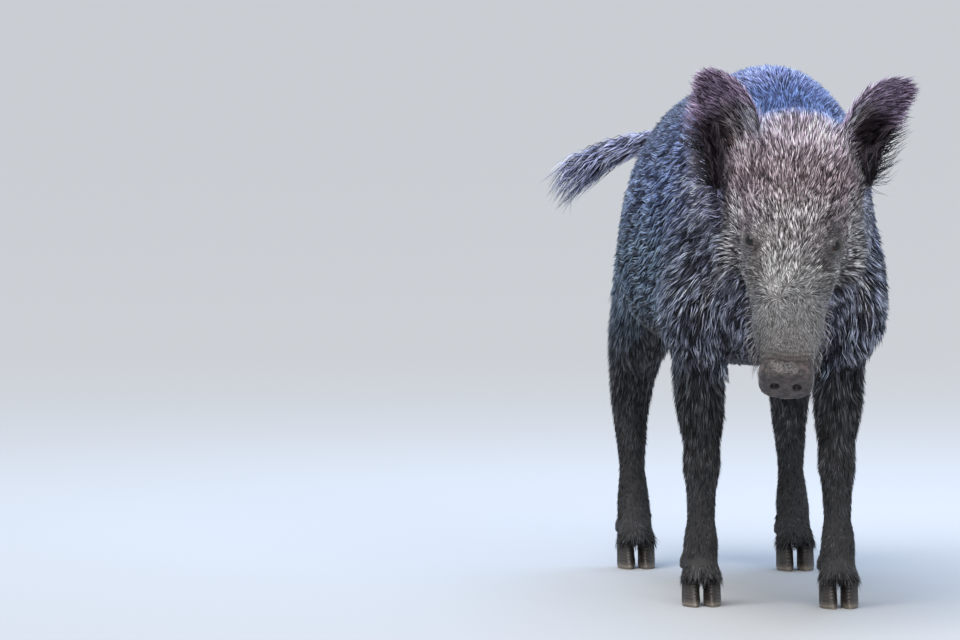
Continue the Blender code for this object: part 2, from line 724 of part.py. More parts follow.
def main():
    clear_scene()
    home, cutters = make_collections()
    coat = make_material("coat", COAT, 0.6)
    face = make_material("face_coat", FACE_COAT, 0.6)
    ear_coat = make_material("ear_coat", EAR_COAT, 0.6)
    skin = make_material("snout_skin", SNOUT_SKIN, 0.45)
    horn = make_material("claw_horn", CLAW_HORN, 0.5)
    brown = make_material("eye_brown", EYE_BROWN, 0.1)

    trunk_forms(cutters)
    neck_forms(cutters)
    head_forms(cutters)
    for side, foot in FRONT_FEET.values():
        front_leg(side, foot, cutters)
    for side, foot in HIND_FEET.values():
        hind_leg(side, foot, cutters)
    fine = fuse_flesh(cutters)
    head_flesh = thinned(fine, HEAD_TRIANGLES, "head_flesh", cutters)
    flesh = thinned(fine, BODY_TRIANGLES, "flesh", cutters)

    build_ears(head_flesh, home, cutters, ear_coat)
    build_tail(flesh, home, cutters, coat)
    nape = slab("nape", place(0.236, 0.560), Vector((0, -0.88, 0.42)).normalized(), 0.30, 0.60, cutters)
    head = cut(head_flesh, nape, "INTERSECT", "head", cutters)
    flesh = cut(flesh, grown(nape, GAP, "nape_wide", cutters), "DIFFERENCE", "flesh", cutters)
    frame = head_frame()
    ahead = (frame.to_3x3() @ Vector((0, -1, 0))).normalized()
    snout_end = slab("snout_end", frame @ place(0.3400, -0.035), ahead, 0.08, 0.08, cutters)
    head = cut(head, snout_end, "DIFFERENCE", "head", cutters)
    head = build_eyes(head, home, cutters, brown)
    finish_piece(head, "head", face, home)
    flesh = build_legs(flesh, home, cutters, coat)
    ahead = Vector((0, -0.95, 0.30)).normalized()
    withers = slab("withers", place(0.085, 0.540), ahead, 0.40, 0.80, cutters)
    neck, trunk = part_off(flesh, withers, "neck", cutters)
    finish_piece(neck, "neck", coat, home)
    finish_piece(trunk, "trunk", coat, home)
    snout_disc(home, skin)
    build_claws(home, horn)

    cutters.hide_render = True
    for item in cutters.objects:
        item.hide_render = True
        item.display_type = "WIRE"
    stand_on_origin(home)


main()
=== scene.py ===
"""A wild boar sow, life size: one skin under a coat of solid tufts, with eyes, snout disc and claws."""

from math import cos, pi, radians, sin

import bpy
import numpy as np
from mathutils import Matrix, Vector
from mathutils.bvhtree import BVHTree
from mathutils.kdtree import KDTree


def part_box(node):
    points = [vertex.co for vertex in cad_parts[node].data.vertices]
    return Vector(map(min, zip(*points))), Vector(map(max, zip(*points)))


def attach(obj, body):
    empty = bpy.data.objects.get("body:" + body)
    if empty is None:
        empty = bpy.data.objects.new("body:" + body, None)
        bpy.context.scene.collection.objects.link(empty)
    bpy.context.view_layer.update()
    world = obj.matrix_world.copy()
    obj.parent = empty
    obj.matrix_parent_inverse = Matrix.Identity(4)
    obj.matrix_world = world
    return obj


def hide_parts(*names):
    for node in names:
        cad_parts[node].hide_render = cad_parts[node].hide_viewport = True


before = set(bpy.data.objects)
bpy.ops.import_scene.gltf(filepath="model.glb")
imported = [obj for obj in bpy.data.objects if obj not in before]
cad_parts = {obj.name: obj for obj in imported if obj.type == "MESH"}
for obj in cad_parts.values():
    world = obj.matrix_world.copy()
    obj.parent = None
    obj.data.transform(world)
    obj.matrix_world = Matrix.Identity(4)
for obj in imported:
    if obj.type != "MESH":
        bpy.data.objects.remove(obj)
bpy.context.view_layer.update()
RANDOM = np.random.default_rng(7)

# The sow's own landmarks, in metres and degrees.
POLL_FORWARD = 0.29
POLL_HEIGHT = 0.65
HEAD_PITCH = 60.0
HEAD_YAW = -6.5
HEAD_ROLL = 3.5
EYE_ALONG = 0.161
EYE_HEIGHT = -0.024
EYE_SPREAD = 0.0495
EYE_RADIUS = 0.0125
PARTING = (0.23, 0.238)
PARTING_HEIGHT = -0.05

# The skin.
SKIN_VOXEL = 0.0034
SKIN_TRIANGLES = 105000
LID = 0.0015
SAMPLE_AREA = 2.2e-5
LIP_CLEARANCE = 0.0026
LIP_GROOVE = 0.0042
EAR_DIVIDE = 0.02
MUZZLE_END = 0.3402

# The coat's roots, map and marks.
CELL_STRIDE = 4001
UNWRAP_TRIANGLES = 9000
MAP_MARGIN = 0.004
MAP_PATCH = 0.0015
TRIES_PER_CELL = 4.5
FOREHEAD_MARKS = ((0.081, -0.043), (0.089, -0.036))

# The camera.
CAMERA_DISTANCE = 14.46
CAMERA_ASIDE = 0.4145

SIDES = {"right": -1, "left": 1}
PAIRED = [f"{part}_{side}" for part in ("ear", "leg_front", "leg_hind") for side in SIDES]
FLESH = ("trunk", "neck", "head", *PAIRED)
BODY, NECK, HEAD, EAR, LEG, TAIL = range(6)
REGIONS = {"trunk": BODY, "neck": NECK, "head": HEAD, "snout": HEAD, "eye": HEAD, "ear": EAR, "leg": LEG}


# Places


def design_place(forward, height, lateral=0.0):
    return Vector((lateral, -forward, height))


def design_head():
    turned = Matrix.Rotation(radians(HEAD_YAW), 4, "Z") @ Matrix.Rotation(radians(HEAD_ROLL), 4, "Y")
    turned = turned @ Matrix.Rotation(radians(HEAD_PITCH), 4, "X")
    return Matrix.Translation(design_place(POLL_FORWARD, POLL_HEIGHT)) @ turned


def middle_of(node):
    low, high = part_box(node)
    return (low + high) / 2


SHIFT = middle_of("eye_right") - design_head() @ design_place(EYE_ALONG, EYE_HEIGHT, -EYE_SPREAD)
HEAD_FRAME = Matrix.Translation(SHIFT) @ design_head()
HEAD_BACK = np.array(HEAD_FRAME.inverted())
HEAD_TURN = np.array(HEAD_FRAME.to_3x3())


def place(forward, height, lateral=0.0):
    """A point ahead of the withers, above the floor and to the sow's left."""
    return design_place(forward, height, lateral) + SHIFT


def head_place(along, height, across=0.0):
    """A point along the face from the poll, above the face's line and to the sow's left."""
    return HEAD_FRAME @ design_place(along, height, across)


def in_head(points):
    """(along, height, across) of each point in the head's own frame."""
    local = points @ HEAD_BACK[:3, :3].T + HEAD_BACK[:3, 3]
    return -local[:, 1], local[:, 2], local[:, 0]


def from_body(points):
    """(forward, height, lateral) of each point."""
    return -(points[:, 1] - SHIFT.y), points[:, 2], points[:, 0] - SHIFT.x


def ramp(values, start, end):
    """0 at start, 1 at end, smooth between."""
    share = np.clip((values - start) / (end - start), 0.0, 1.0)
    return share * share * (3 - 2 * share)


def bell(values, middle, width):
    """1 at the middle, almost 0 two widths away from it."""
    return np.exp(-(((values - middle) / width) ** 2))


def unit(vectors):
    return vectors / np.maximum(np.linalg.norm(vectors, axis=-1, keepdims=True), 1e-9)


def ways(count, x, y, z):
    """A direction for each point, from numbers or from a number for each point."""
    return np.stack([np.broadcast_to(part, count) for part in (x, y, z)], axis=1)


def waves(points, scale, seed):
    """A smooth wandering value between about -1 and 1 at each point."""
    draw = np.random.default_rng(seed)
    total = np.zeros(len(points))
    for octave in (1.0, 1.9, 3.7):
        for _ in range(4):
            way = unit(draw.normal(size=3)) * 2 * pi * octave / scale
            total += np.sin(points @ way + draw.uniform(0, 2 * pi)) / octave
    return total / 3.2


# Modelling


def only(*items):
    """Selects just these objects."""
    if bpy.context.mode != "OBJECT":
        bpy.ops.object.mode_set(mode="OBJECT")
    bpy.ops.object.select_all(action="DESELECT")
    for item in items:
        item.select_set(True)
    bpy.context.view_layer.objects.active = items[0]


def added(operator, **settings):
    """The object that an operator adds."""
    bpy.ops.object.select_all(action="DESELECT")
    operator(**settings)
    return bpy.context.object


def placed(name, mesh):
    """A new object in the scene that holds the mesh."""
    item = bpy.data.objects.new(name, mesh)
    bpy.context.scene.collection.objects.link(item)
    return item


def edit_all(item, operator, **settings):
    """Runs an operator on the object's whole mesh."""
    only(item)
    bpy.ops.object.mode_set(mode="EDIT")
    bpy.ops.mesh.select_all(action="SELECT")
    operator(**settings)
    bpy.ops.object.mode_set(mode="OBJECT")


def copy_of(name):
    """A copy of a CAD node with its loose triangles joined up."""
    made = placed(name + "_copy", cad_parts[name].data.copy())
    edit_all(made, bpy.ops.mesh.remove_doubles, threshold=0.00001)
    return made


def apply_modifier(item, kind, **settings):
    only(item)
    modifier = item.modifiers.new(kind.lower(), kind)
    for key, value in settings.items():
        setattr(modifier, key, value)
    bpy.ops.object.modifier_apply(modifier=modifier.name)


def join(items):
    only(*items)
    bpy.ops.object.join()
    return bpy.context.object


def settle(item, name, material):
    """Puts a finished piece's place in its mesh, gives it its material and lets it ride."""
    only(item)
    bpy.ops.object.transform_apply()
    item.name = item.data.name = name
    item.data.materials.clear()
    item.data.materials.append(material)
    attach(item, "root")
    return item


def rows_of(items, name, width, kind=np.float32):
    """One row of values for each item in a mesh's list."""
    values = np.empty(len(items) * width, kind)
    items.foreach_get(name, values)
    return values.reshape(-1, width)


def points_of(mesh):
    return rows_of(mesh.vertices, "co", 3).astype(float)


def normals_of(mesh):
    return rows_of(mesh.vertices, "normal", 3).astype(float)


def move_points(mesh, points):
    mesh.vertices.foreach_set("co", points.astype(np.float32).ravel())
    mesh.update()


def triangles_of(mesh):
    mesh.calc_loop_triangles()
    return rows_of(mesh.loop_triangles, "vertices", 3, np.int32)


def areas_of(points, corners):
    a, b, c = (points[corners[:, k]] for k in range(3))
    return np.linalg.norm(np.cross(b - a, c - a), axis=1) / 2


def scatter_on(draw, areas, count):
    """Picks faces by their area and a place on each: (face, share of each corner)."""
    picks = draw.choice(len(areas), size=count, p=areas / areas.sum())
    r, s = np.sqrt(draw.random(count)), draw.random(count)
    return picks, np.stack([1 - r, r * (1 - s), r * s], axis=1)


def mix_corners(values, corners, shares):
    return sum(values[corners[:, k]] * shares[:, k : k + 1] for k in range(3))


def one_per_cell(points, size, offset=0.0):
    """The first point in each cell of a grid."""
    cells = np.floor(points / size + offset).astype(np.int64)
    keys = (cells[:, 0] * CELL_STRIDE + cells[:, 1]) * CELL_STRIDE + cells[:, 2]
    return np.unique(keys, return_index=True)[1]


def tree_of(points):
    tree = KDTree(len(points))
    for k, point in enumerate(points):
        tree.insert(point, k)
    tree.balance()
    return tree


def put_tone(mesh, tones):
    """Stores a colour for each point, which the materials read."""
    attribute = mesh.attributes.new("tone", "FLOAT_COLOR", "POINT")
    values = np.ones((len(tones), 4), np.float32)
    values[:, :3] = tones
    attribute.data.foreach_set("color", values.ravel())


def tail_core():
    """A round tapered rod along the tail."""
    item = added(bpy.ops.curve.primitive_bezier_curve_add, radius=0.1)
    item.data.splines.clear()
    spline = item.data.splines.new("POLY")
    spline.points.add(len(TAIL_POINTS) - 1)
    radii = np.linspace(0.0115, 0.0055, len(TAIL_POINTS))
    for point, where, radius in zip(spline.points, TAIL_POINTS, radii):
        point.co = (*where, 1.0)
        point.radius = radius
    item.data.bevel_depth = 1.0
    item.data.bevel_resolution = 4
    item.data.use_fill_caps = True
    bpy.ops.object.convert(target="MESH")
    return bpy.context.object


def spread(mesh, weights, rounds):
    """Averages values over each point's neighbours again and again."""
    a, b = rows_of(mesh.edges, "vertices", 2, np.int32).T
    count = len(mesh.vertices)
    near = np.bincount(a, minlength=count) + np.bincount(b, minlength=count) + 1.0
    for _ in range(rounds):
        for column in range(weights.shape[1]):
            values = weights[:, column]
            total = np.bincount(a, values[b], count) + np.bincount(b, values[a], count) + values
            weights[:, column] = total / near
    return weights


# Shading


def add_node(tree, kind, settings=None, **inputs):
    """A shader node with its settings, and its inputs by name or as i0, i1 and so on by number."""
    made = tree.nodes.new("ShaderNode" + kind)
    for key, value in (settings or {}).items():
        setattr(made, key, value)
    for key, value in inputs.items():
        slot = made.inputs[int(key[1:]) if key[1:].isdigit() else key]
        if isinstance(value, Value):
            tree.links.new(value.socket, slot)
        else:
            slot.default_value = (*value, 1.0) if slot.type == "RGBA" else value
    return made


class Value:
    """A socket with Python's operators, either way round, each of which adds a Math node."""

    def __init__(self, tree, socket):
        self.tree = tree
        self.socket = socket

    def math(self, operation, **others):
        made = add_node(self.tree, "Math", {"operation": operation}, i0=self, **others)
        return Value(self.tree, made.outputs[0])

    def __add__(self, other):
        return self.math("ADD", i1=other)

    __radd__ = __add__

    def __mul__(self, other):
        return self.math("MULTIPLY", i1=other)

    __rmul__ = __mul__

    def ramp(self, start, end):
        """0 at start, 1 at end, smooth between."""
        settings = {"interpolation_type": "SMOOTHSTEP"}
        made = add_node(self.tree, "MapRange", settings, i0=self, i1=start, i2=end, i3=0.0, i4=1.0)
        return Value(self.tree, made.outputs[0])


class Finish:
    """A Principled material that is built up from Value expressions."""

    def __init__(self, name, colour, roughness, **fixed):
        self.material = bpy.data.materials.new(name)
        self.material.use_nodes = True
        self.tree = self.material.node_tree
        self.shader = self.tree.nodes["Principled BSDF"]
        self.shader.inputs["Base Color"].default_value = (*colour, 1.0)
        self.shader.inputs["Roughness"].default_value = roughness
        for key, value in fixed.items():
            self.shader.inputs[key.replace("_", " ")].default_value = value

    def out(self, kind, name, settings=None, **inputs):
        """One output of a new node."""
        return Value(self.tree, add_node(self.tree, kind, settings, **inputs).outputs[name])

    def where(self):
        return self.out("TexCoord", "Object")

    def level(self):
        return self.out("SeparateXYZ", "Z", Vector=self.where())

    def noise(self, scale, detail=3.0):
        return self.out("TexNoise", "Fac", Vector=self.where(), Scale=scale, Detail=detail)

    def tone(self):
        return self.out("Attribute", "Color", {"attribute_name": "tone"})

    def blend(self, share, first, second, kind="MIX"):
        settings = {"data_type": "RGBA", "blend_type": kind, "clamp_factor": True}
        return self.out("Mix", 2, settings, i0=share, i6=first, i7=second)

    def feed(self, name, value):
        self.tree.links.new(value.socket, self.shader.inputs[name])

    def bump(self, height, distance):
        self.feed("Normal", self.out("Bump", 0, Height=height, Distance=distance))


def coat_finish(name, roughness):
    """Bristles: the colour of each tuft runs from its root to its tip."""
    made = Finish(name, (0.1, 0.1, 0.1), roughness, Specular_IOR_Level=0.12)
    made.feed("Base Color", made.tone())
    return made.material


def skin_finish():
    """Skin under the coat, with the coat's markings, painted sheen and painted highlights, and the fine grain
    of its shortest hair.
    """
    made = Finish("skin", (0.05, 0.05, 0.06), 0.62, Specular_IOR_Level=0.3)
    grain = made.noise(900.0, 4.0)
    shade = made.blend(grain.ramp(0.35, 0.7), (0.55, 0.55, 0.55), (1.15, 1.15, 1.15))
    made.feed("Base Color", made.blend(1.0, made.tone(), shade, "MULTIPLY"))
    made.bump(grain, 0.0012)
    return made.material


def snout_finish():
    """Bare damp skin, finely pebbled."""
    made = Finish("snout_skin", (0.05, 0.04, 0.04), 0.38, Specular_IOR_Level=0.5)
    patches = made.noise(120.0)
    made.feed("Base Color", made.blend(patches.ramp(0.35, 0.7), (0.018, 0.014, 0.015), (0.07, 0.053, 0.052)))
    cells = made.out("TexVoronoi", "Distance", Vector=made.where(), Scale=520.0)
    made.bump(cells.ramp(0.0, 0.55) + made.noise(70.0) * 1.5, 0.0007)
    return made.material


def horn_finish():
    """Worn dark horn with growth rings round it."""
    made = Finish("claw_horn", (0.04, 0.035, 0.03), 0.42, Specular_IOR_Level=0.45)
    rings = ((made.level() + made.noise(60.0) * 0.004) * 1500.0).math("SINE")
    wear = made.noise(220.0, 5.0)
    pale = made.level().ramp(0.012, 0.0) * 0.7 + wear * 0.35
    made.feed("Base Color", made.blend(pale.ramp(0.15, 0.95), (0.024, 0.02, 0.018), (0.155, 0.13, 0.105)))
    made.bump(rings * 0.5 + wear, 0.0004)
    return made.material


def eye_finish(name, centre, gaze):
    """Dark brown iris and a round pupil that look along the gaze, under a wet surface."""
    made = Finish(name, (0.012, 0.007, 0.004), 0.06, Specular_IOR_Level=0.25, Coat_Roughness=0.02,
                  Coat_Weight=0.5, IOR=1.38)

    def vector_math(operation, first, name=0, **second):
        return made.out("VectorMath", name, {"operation": operation}, i0=first, **second)

    offset = vector_math("SUBTRACT", made.where(), i1=tuple(centre))
    turn = vector_math("DOT_PRODUCT", vector_math("NORMALIZE", offset), "Value", i1=tuple(gaze))
    iris = made.blend(made.noise(900.0), (0.014, 0.007, 0.004), (0.045, 0.022, 0.01))
    inner = made.blend(turn.ramp(0.84, 0.87), iris, (0.002, 0.002, 0.002))
    made.feed("Base Color", made.blend(turn.ramp(0.62, 0.56), inner, (0.03, 0.02, 0.017)))
    return made.material


# The skin


TAIL_POINTS = np.array([place(*point) for point in (
    (-0.585, 0.586, 0.02), (-0.632, 0.583, -0.012), (-0.655, 0.579, -0.05), (-0.66, 0.574, -0.085),
    (-0.658, 0.566, -0.115), (-0.654, 0.553, -0.143), (-0.649, 0.54, -0.165),
)])


def fused_flesh():
    """All the flesh of the solids as one closed surface, with a thin core for the tail."""
    flesh = join([copy_of(name) for name in (*FLESH, "eye_right", "eye_left")])
    edit_all(flesh, bpy.ops.mesh.normals_make_consistent, inside=False)
    edit_all(flesh, bpy.ops.transform.shrink_fatten, value=0.0009)
    flesh = join([flesh, tail_core()])
    apply_modifier(flesh, "REMESH", mode="VOXEL", voxel_size=SKIN_VOXEL)
    apply_modifier(flesh, "SMOOTH", factor=0.5, iterations=5)
    return flesh


def region_weights(mesh):
    """How much each point belongs to the trunk, neck, head, ears, legs and tail, with soft borders."""
    draw = np.random.default_rng(3)
    spots, labels = [], []
    for name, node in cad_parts.items():
        region = REGIONS.get(name.split("_")[0])
        if region is None:
            continue
        points, corners = points_of(node.data), triangles_of(node.data)
        areas = areas_of(points, corners)
        picks, shares = scatter_on(draw, areas, int(areas.sum() / SAMPLE_AREA) + 8)
        spots.append(mix_corners(points, corners[picks], shares))
        labels.append(np.full(len(picks), region))
    path = np.vstack([TAIL_POINTS[k] + (TAIL_POINTS[k + 1] - TAIL_POINTS[k]) * t
                      for k in range(1, len(TAIL_POINTS) - 1) for t in np.linspace(0, 1, 12)])
    around = unit(draw.normal(size=(len(path) * 6, 3))) * 0.009
    spots.append(np.repeat(path, 6, axis=0) + around)
    labels = np.concatenate([*labels, np.full(len(around), TAIL)])
    tree = tree_of(np.vstack(spots))
    weights = np.zeros((len(mesh.vertices), 6))
    for k, point in enumerate(points_of(mesh)):
        weights[k, labels[tree.find(point)[1]]] = 1.0
    return spread(mesh, weights, 14)


def coat_depth(points, normals, weights):
    """How far the skin lies under the tips of the coat."""
    along, height, _ = in_head(points)
    level = points[:, 2]
    face = 0.0068 - 0.0028 * ramp(along, 0.02, 0.13) - 0.0021 * ramp(along, 0.18, 0.29)
    face = face + 0.0035 * ramp(height, -0.06, -0.11) * ramp(along, 0.22, 0.12)
    face = face * (1 - 0.8 * ramp(eye_reach(points), 0.04, 0.019))
    ahead = normals @ (HEAD_TURN @ np.array((0.0, -1.0, 0.0)))
    face = face * (1 - ramp(along, 0.332, 0.337) * ramp(ahead, 0.4, 0.8))
    face = face + 0.0012 * ramp(along, 0.316, 0.33) + 0.0006 * ramp(along, 0.333, 0.3403)
    leg = 0.005 - 0.0026 * ramp(level, 0.16, 0.06) + 0.0035 * ramp(level, 0.24, 0.34)
    body = 0.01 - 0.003 * ramp(level, 0.4, 0.32) + 0.0015 * ramp(normals[:, 2], 0.25, 0.8)
    depths = (body, 0.0105, face, 0.0025, leg, 0.001)
    return sum(weights[:, k] * depth for k, depth in enumerate(depths))


def eye_axes(side):
    """Centre of the eye and the directions it looks, towards the snout and up the face."""
    centre = head_place(EYE_ALONG, EYE_HEIGHT, side * EYE_SPREAD)
    turn = HEAD_FRAME.to_3x3()
    gaze = (turn @ Vector((side * 0.66, -0.33, 0.68))).normalized()
    nose = turn @ Vector((side * -0.66, -1.0, 0.0))
    nose = (nose - gaze * nose.dot(gaze)).normalized()
    up = gaze.cross(nose)
    if up.dot(turn @ Vector((0, 0, 1))) < 0:
        up.negate()
    return np.array(centre), np.array(gaze), np.array(nose), np.array(up)


def eye_reach(points):
    """Distance of each point from the middle of the nearer eye."""
    return np.min([np.linalg.norm(points - eye_axes(side)[0], axis=1) for side in (-1, 1)], axis=0)


def lid_distance(points, side):
    """How far outside the lids' almond each point lies, its distance and way from the eye, and its height."""
    centre, gaze, nose, up = eye_axes(side)
    offset = points - centre
    reach = np.linalg.norm(offset, axis=1)
    way = offset / np.maximum(reach, 1e-9)[:, None]
    x, y, z = way @ nose, way @ up, way @ gaze
    y = y - 0.1 * x
    half = 0.36 + 0.06 * (y > 0)
    almond = np.sqrt((x / 0.7) ** 2 + (y / half) ** 2 * (1 + 0.9 * (x / 0.7) ** 2))
    return np.where(z > 0, (almond - 1.0) * 0.42, 2.0), reach, way, y


def shape_lids(points):
    """Wraps the skin round each eye and opens an almond between the lids."""
    rim = EYE_RADIUS + LID
    for side in (-1, 1):
        outside, reach, way, y = lid_distance(points, side)
        near = (reach < 0.03) & (outside < 1.5)
        crease = 0.0009 * bell(outside, 0.3, 0.07) * (y > -0.1)
        lid = rim + 0.0012 * bell(outside, 0.16, 0.09) - crease
        hug = ramp(outside, 0.8, 0.2) * ramp(reach, 0.027, 0.017)
        radius = np.maximum(reach * (1 - hug) + lid * hug, EYE_RADIUS + 0.0007)
        opening = ramp(outside, 0.05, -0.1)
        radius = np.where(outside < 0.05, rim * (1 - opening) + (EYE_RADIUS - 0.004) * opening, radius)
        points[near] = eye_axes(side)[0] + way[near] * radius[near, None]
    return points


MOUTH = [(0.334, -0.064, 0.012), (0.322, -0.067, 0.026), (0.295, -0.073, 0.034), (0.26, -0.084, 0.039),
         (0.225, -0.095, 0.045), (0.19, -0.103, 0.053), (0.17, -0.104, 0.06)]
LIPS = {}


def find_lips(points):
    """Lays the line between the lips on the skin, on both sides."""
    tree = tree_of(points)
    for side in (-1, 1):
        marks = np.array([head_place(a, h, side * c) for a, h, c in MOUTH])
        steps = np.linspace(0, len(marks) - 1, 60)
        path = np.stack([np.interp(steps, range(len(marks)), marks[:, k]) for k in range(3)], axis=1)
        path = np.array([tree.find(spot)[0] for spot in path])
        for _ in range(4):
            path[1:-1] = (path[:-2] + path[1:-1] * 2 + path[2:]) / 4
        LIPS[side] = path


def mouth_distance(points):
    """Distance from the line between the lips."""
    nearest = np.full(len(points), 1.0)
    close = in_head(points)[0] > 0.14
    for path in LIPS.values():
        gaps = np.linalg.norm(points[close][:, None] - path[None, ::2], axis=2).min(axis=1)
        nearest[close] = np.minimum(nearest[close], gaps)
    return nearest


def cut_up(mesh, chosen, cuts):
    """Divides the faces whose corners are all chosen."""
    flags = np.zeros(len(mesh.vertices), bool)
    flags[: len(chosen)] = chosen
    bpy.ops.object.mode_set(mode="EDIT")
    bpy.ops.mesh.select_mode(type="FACE")
    bpy.ops.mesh.select_all(action="DESELECT")
    bpy.ops.object.mode_set(mode="OBJECT")
    for polygon in mesh.polygons:
        polygon.select = all(flags[k] for k in polygon.vertices)
    bpy.ops.object.mode_set(mode="EDIT")
    bpy.ops.mesh.subdivide(number_cuts=cuts)
    bpy.ops.object.mode_set(mode="OBJECT")


def build_skin():
    """One skin from snout to tail, sunk under the coat, with lids, lips and folds."""
    skin = fused_flesh()
    mesh = skin.data
    weights = region_weights(mesh)
    points, normals = points_of(mesh), normals_of(mesh)
    depth = spread(mesh, coat_depth(points, normals, weights)[:, None], 6)
    points = points - normals * depth
    for side, mine, share, way, core in by_ear(points, weights[:, EAR] > 0.01):
        part = ramp(weights[mine, EAR], 0.2, 1.0)[:, None]
        outer = ramp((points[mine] - core)[:, 0] * side, -0.01, 0.01) * ramp(share, 0.0, 0.3)
        inward = (core - points[mine]) * 0.13 * outer[:, None]
        points[mine] += (inward - way * 0.003 * ramp(share, 0.35, 1.0)[:, None]) * part
    move_points(mesh, points)

    group = skin.vertex_groups.new(name="plain")
    plain = ramp(weights[:, HEAD] + weights[:, EAR] + 0.5 * weights[:, TAIL], 0.5, 0.2)
    group.add(np.nonzero(plain > 0.5)[0].tolist(), 1.0, "REPLACE")
    share = SKIN_TRIANGLES / (2 * len(mesh.polygons))
    apply_modifier(skin, "DECIMATE", ratio=share, vertex_group="plain", vertex_group_factor=1.0)
    skin.vertex_groups.clear()
    mesh = skin.data

    points = points_of(mesh)
    find_lips(points)
    near_eye = eye_reach(points) < 0.024
    near_mouth = (mouth_distance(points) < 0.008) | ((in_head(points)[0] > 0.306) & (points[:, 2] > 0.25))
    cut_up(mesh, near_mouth, 2)
    cut_up(mesh, near_eye, 3)
    points, normals = points_of(mesh), normals_of(mesh)
    groove = bell(mouth_distance(points), 0.0, 0.0024) * LIP_GROOVE
    along, height, across = in_head(points)
    folds = np.sin((along - 0.31 + 0.4 * across**2 / 0.03) * 2 * pi / 0.0072 + waves(points, 0.03, 51))
    folds *= 0.0006 * ramp(along, 0.306, 0.32) * ramp(along, 0.3395, 0.336) * ramp(height, -0.06, -0.02)
    move_points(mesh, shape_lids(points - normals * (groove + folds)[:, None]))
    edit_all(skin, bpy.ops.mesh.quads_convert_to_tris)
    bpy.ops.object.shade_smooth()
    return skin


# Markings, painted sheen and painted highlights, shared by the skin and its coat: a root colour and a tip
# colour at each place.


def blend(first, second, share):
    """The first colour where the share is 0, the second where it is 1."""
    return np.asarray(first) * (1 - share)[:, None] + np.asarray(second) * share[:, None]


class Tones:
    """The colour of the hair's tips and of its roots at each point."""

    def __init__(self, tip, root):
        self.tip, self.root = tip, root

    def lay(self, share, tip=None, root=None, strength=1.0):
        """Lays colours over the tips and the roots, as far as the share says."""
        if tip is not None:
            self.tip = blend(self.tip, tip, share * strength)
        if root is not None:
            self.root = blend(self.root, root, share)


def face_tones(points, along, height, across):
    """The colours of the face, from the pale crown with its painted highlight to the dark lips."""
    aside = np.abs(across)
    # The crown's near-white tips are pale hair with a painted highlight along the top of the forehead.
    face = Tones(blend((0.94, 0.79, 0.95), (0.56, 0.445, 0.485), ramp(along, 0.015, 0.07)),
                 blend((0.15, 0.115, 0.135), (0.014, 0.009, 0.011), ramp(along, 0.01, 0.07)))
    face.lay(ramp(along, 0.08, 0.17), (0.66, 0.625, 0.64))
    face.lay(ramp(along, 0.17, 0.21), (0.74, 0.735, 0.74))
    face.lay(ramp(along, 0.26, 0.32), (0.56, 0.55, 0.545))
    face.lay(ramp(along, 0.15, 0.22), root=(0.06, 0.05, 0.048))
    side_face = ramp(height, -0.035, -0.085) * ramp(along, 0.3, 0.22)
    face.lay(side_face, (0.4, 0.395, 0.42), (0.026, 0.022, 0.023))
    ring = np.zeros(len(points))
    for side in (-1, 1):
        outside, reach, *_ = lid_distance(points, side)
        ring = np.maximum(ring, ramp(reach, 0.034, 0.018) * ramp(outside, 0.9, 0.2))
    brow = bell(along, 0.137, 0.013) * ramp(aside, 0.036, 0.052) * ramp(aside, 0.088, 0.07)
    temple = ramp(along, 0.06, 0.085) * ramp(along, 0.14, 0.115) * ramp(aside, 0.036, 0.06)
    # Her left brow, temple and eye ring are painted paler than her right: painted light against the shade
    # that falls on that side.
    painted_lift_left = 1 - 0.55 * ramp(across, 0.01, 0.03)
    face.lay(np.maximum(brow * 0.7, temple * 0.45) * painted_lift_left, (0.2, 0.155, 0.215))
    face.lay(np.maximum(brow, temple) * painted_lift_left, root=(0.014, 0.01, 0.013))
    for at, beside in FOREHEAD_MARKS:
        mark = np.exp(-((along - at) ** 2 + (across - beside) ** 2) / 0.0052**2)
        face.lay(mark, (0.02, 0.014, 0.018), (0.006, 0.004, 0.005), 0.9)
    face.lay(ring * 0.65 * painted_lift_left, (0.19, 0.165, 0.165))
    face.lay(ring, root=(0.02, 0.015, 0.015))
    tear = ramp(np.abs(aside - 0.042), 0.016, 0.004) * ramp(along, 0.165, 0.19) * ramp(along, 0.26, 0.21)
    face.lay(tear, (0.2, 0.18, 0.175), strength=0.6)
    face.lay(ramp(along, 0.315, 0.338), (0.09, 0.075, 0.075), (0.052, 0.04, 0.04))
    lips = ramp(mouth_distance(points), 0.0075, 0.003)
    face.lay(lips, (0.05, 0.042, 0.042), (0.012, 0.009, 0.009), 0.85)
    face.lay(ramp(height, -0.1, -0.135) * ramp(along, 0.02, 0.08), (0.22, 0.215, 0.23))
    return face


def ear_tones(points, normals):
    """The colours of the ears: a pale back under a painted purple sheen, a dark hollow with a rosy floor and
    a rim with a painted highlight.
    """
    share, edge, inside = ear_places(points, normals)
    hollow = ramp(inside, 0.0, 0.5) * ramp(share, 0.74, 0.56)
    # The back's purple is a painted sheen over pale hair.
    ear = Tones(blend((0.5, 0.385, 0.58), (0.04, 0.026, 0.034), hollow),
                blend((0.02, 0.014, 0.02), (0.004, 0.003, 0.004), hollow))
    ear.lay(hollow * bell(edge, 0.007, 0.008) * ramp(share, 0.26, 0.38), (0.42, 0.38, 0.41))
    rosy = hollow * ramp(share, 0.44, 0.22) * ramp(edge, -0.014, 0.002)
    ear.lay(rosy, (0.44, 0.285, 0.29), (0.04, 0.016, 0.014), 0.8)
    # A painted highlight: pale lavender tips along the inner rim of each ear.
    rim = ramp(edge, 0.015, 0.024) * ramp(inside, -0.5, 0.1) * ramp(share, 0.18, 0.3)
    ear.lay(rim * ramp(share, 0.72, 0.55), (0.6, 0.58, 0.72), strength=0.8)
    outer = ramp(edge, -0.006, -0.02) * ramp(share, 0.62, 0.45)
    ear.lay(outer, (0.07, 0.055, 0.068), (0.006, 0.005, 0.006))
    return ear


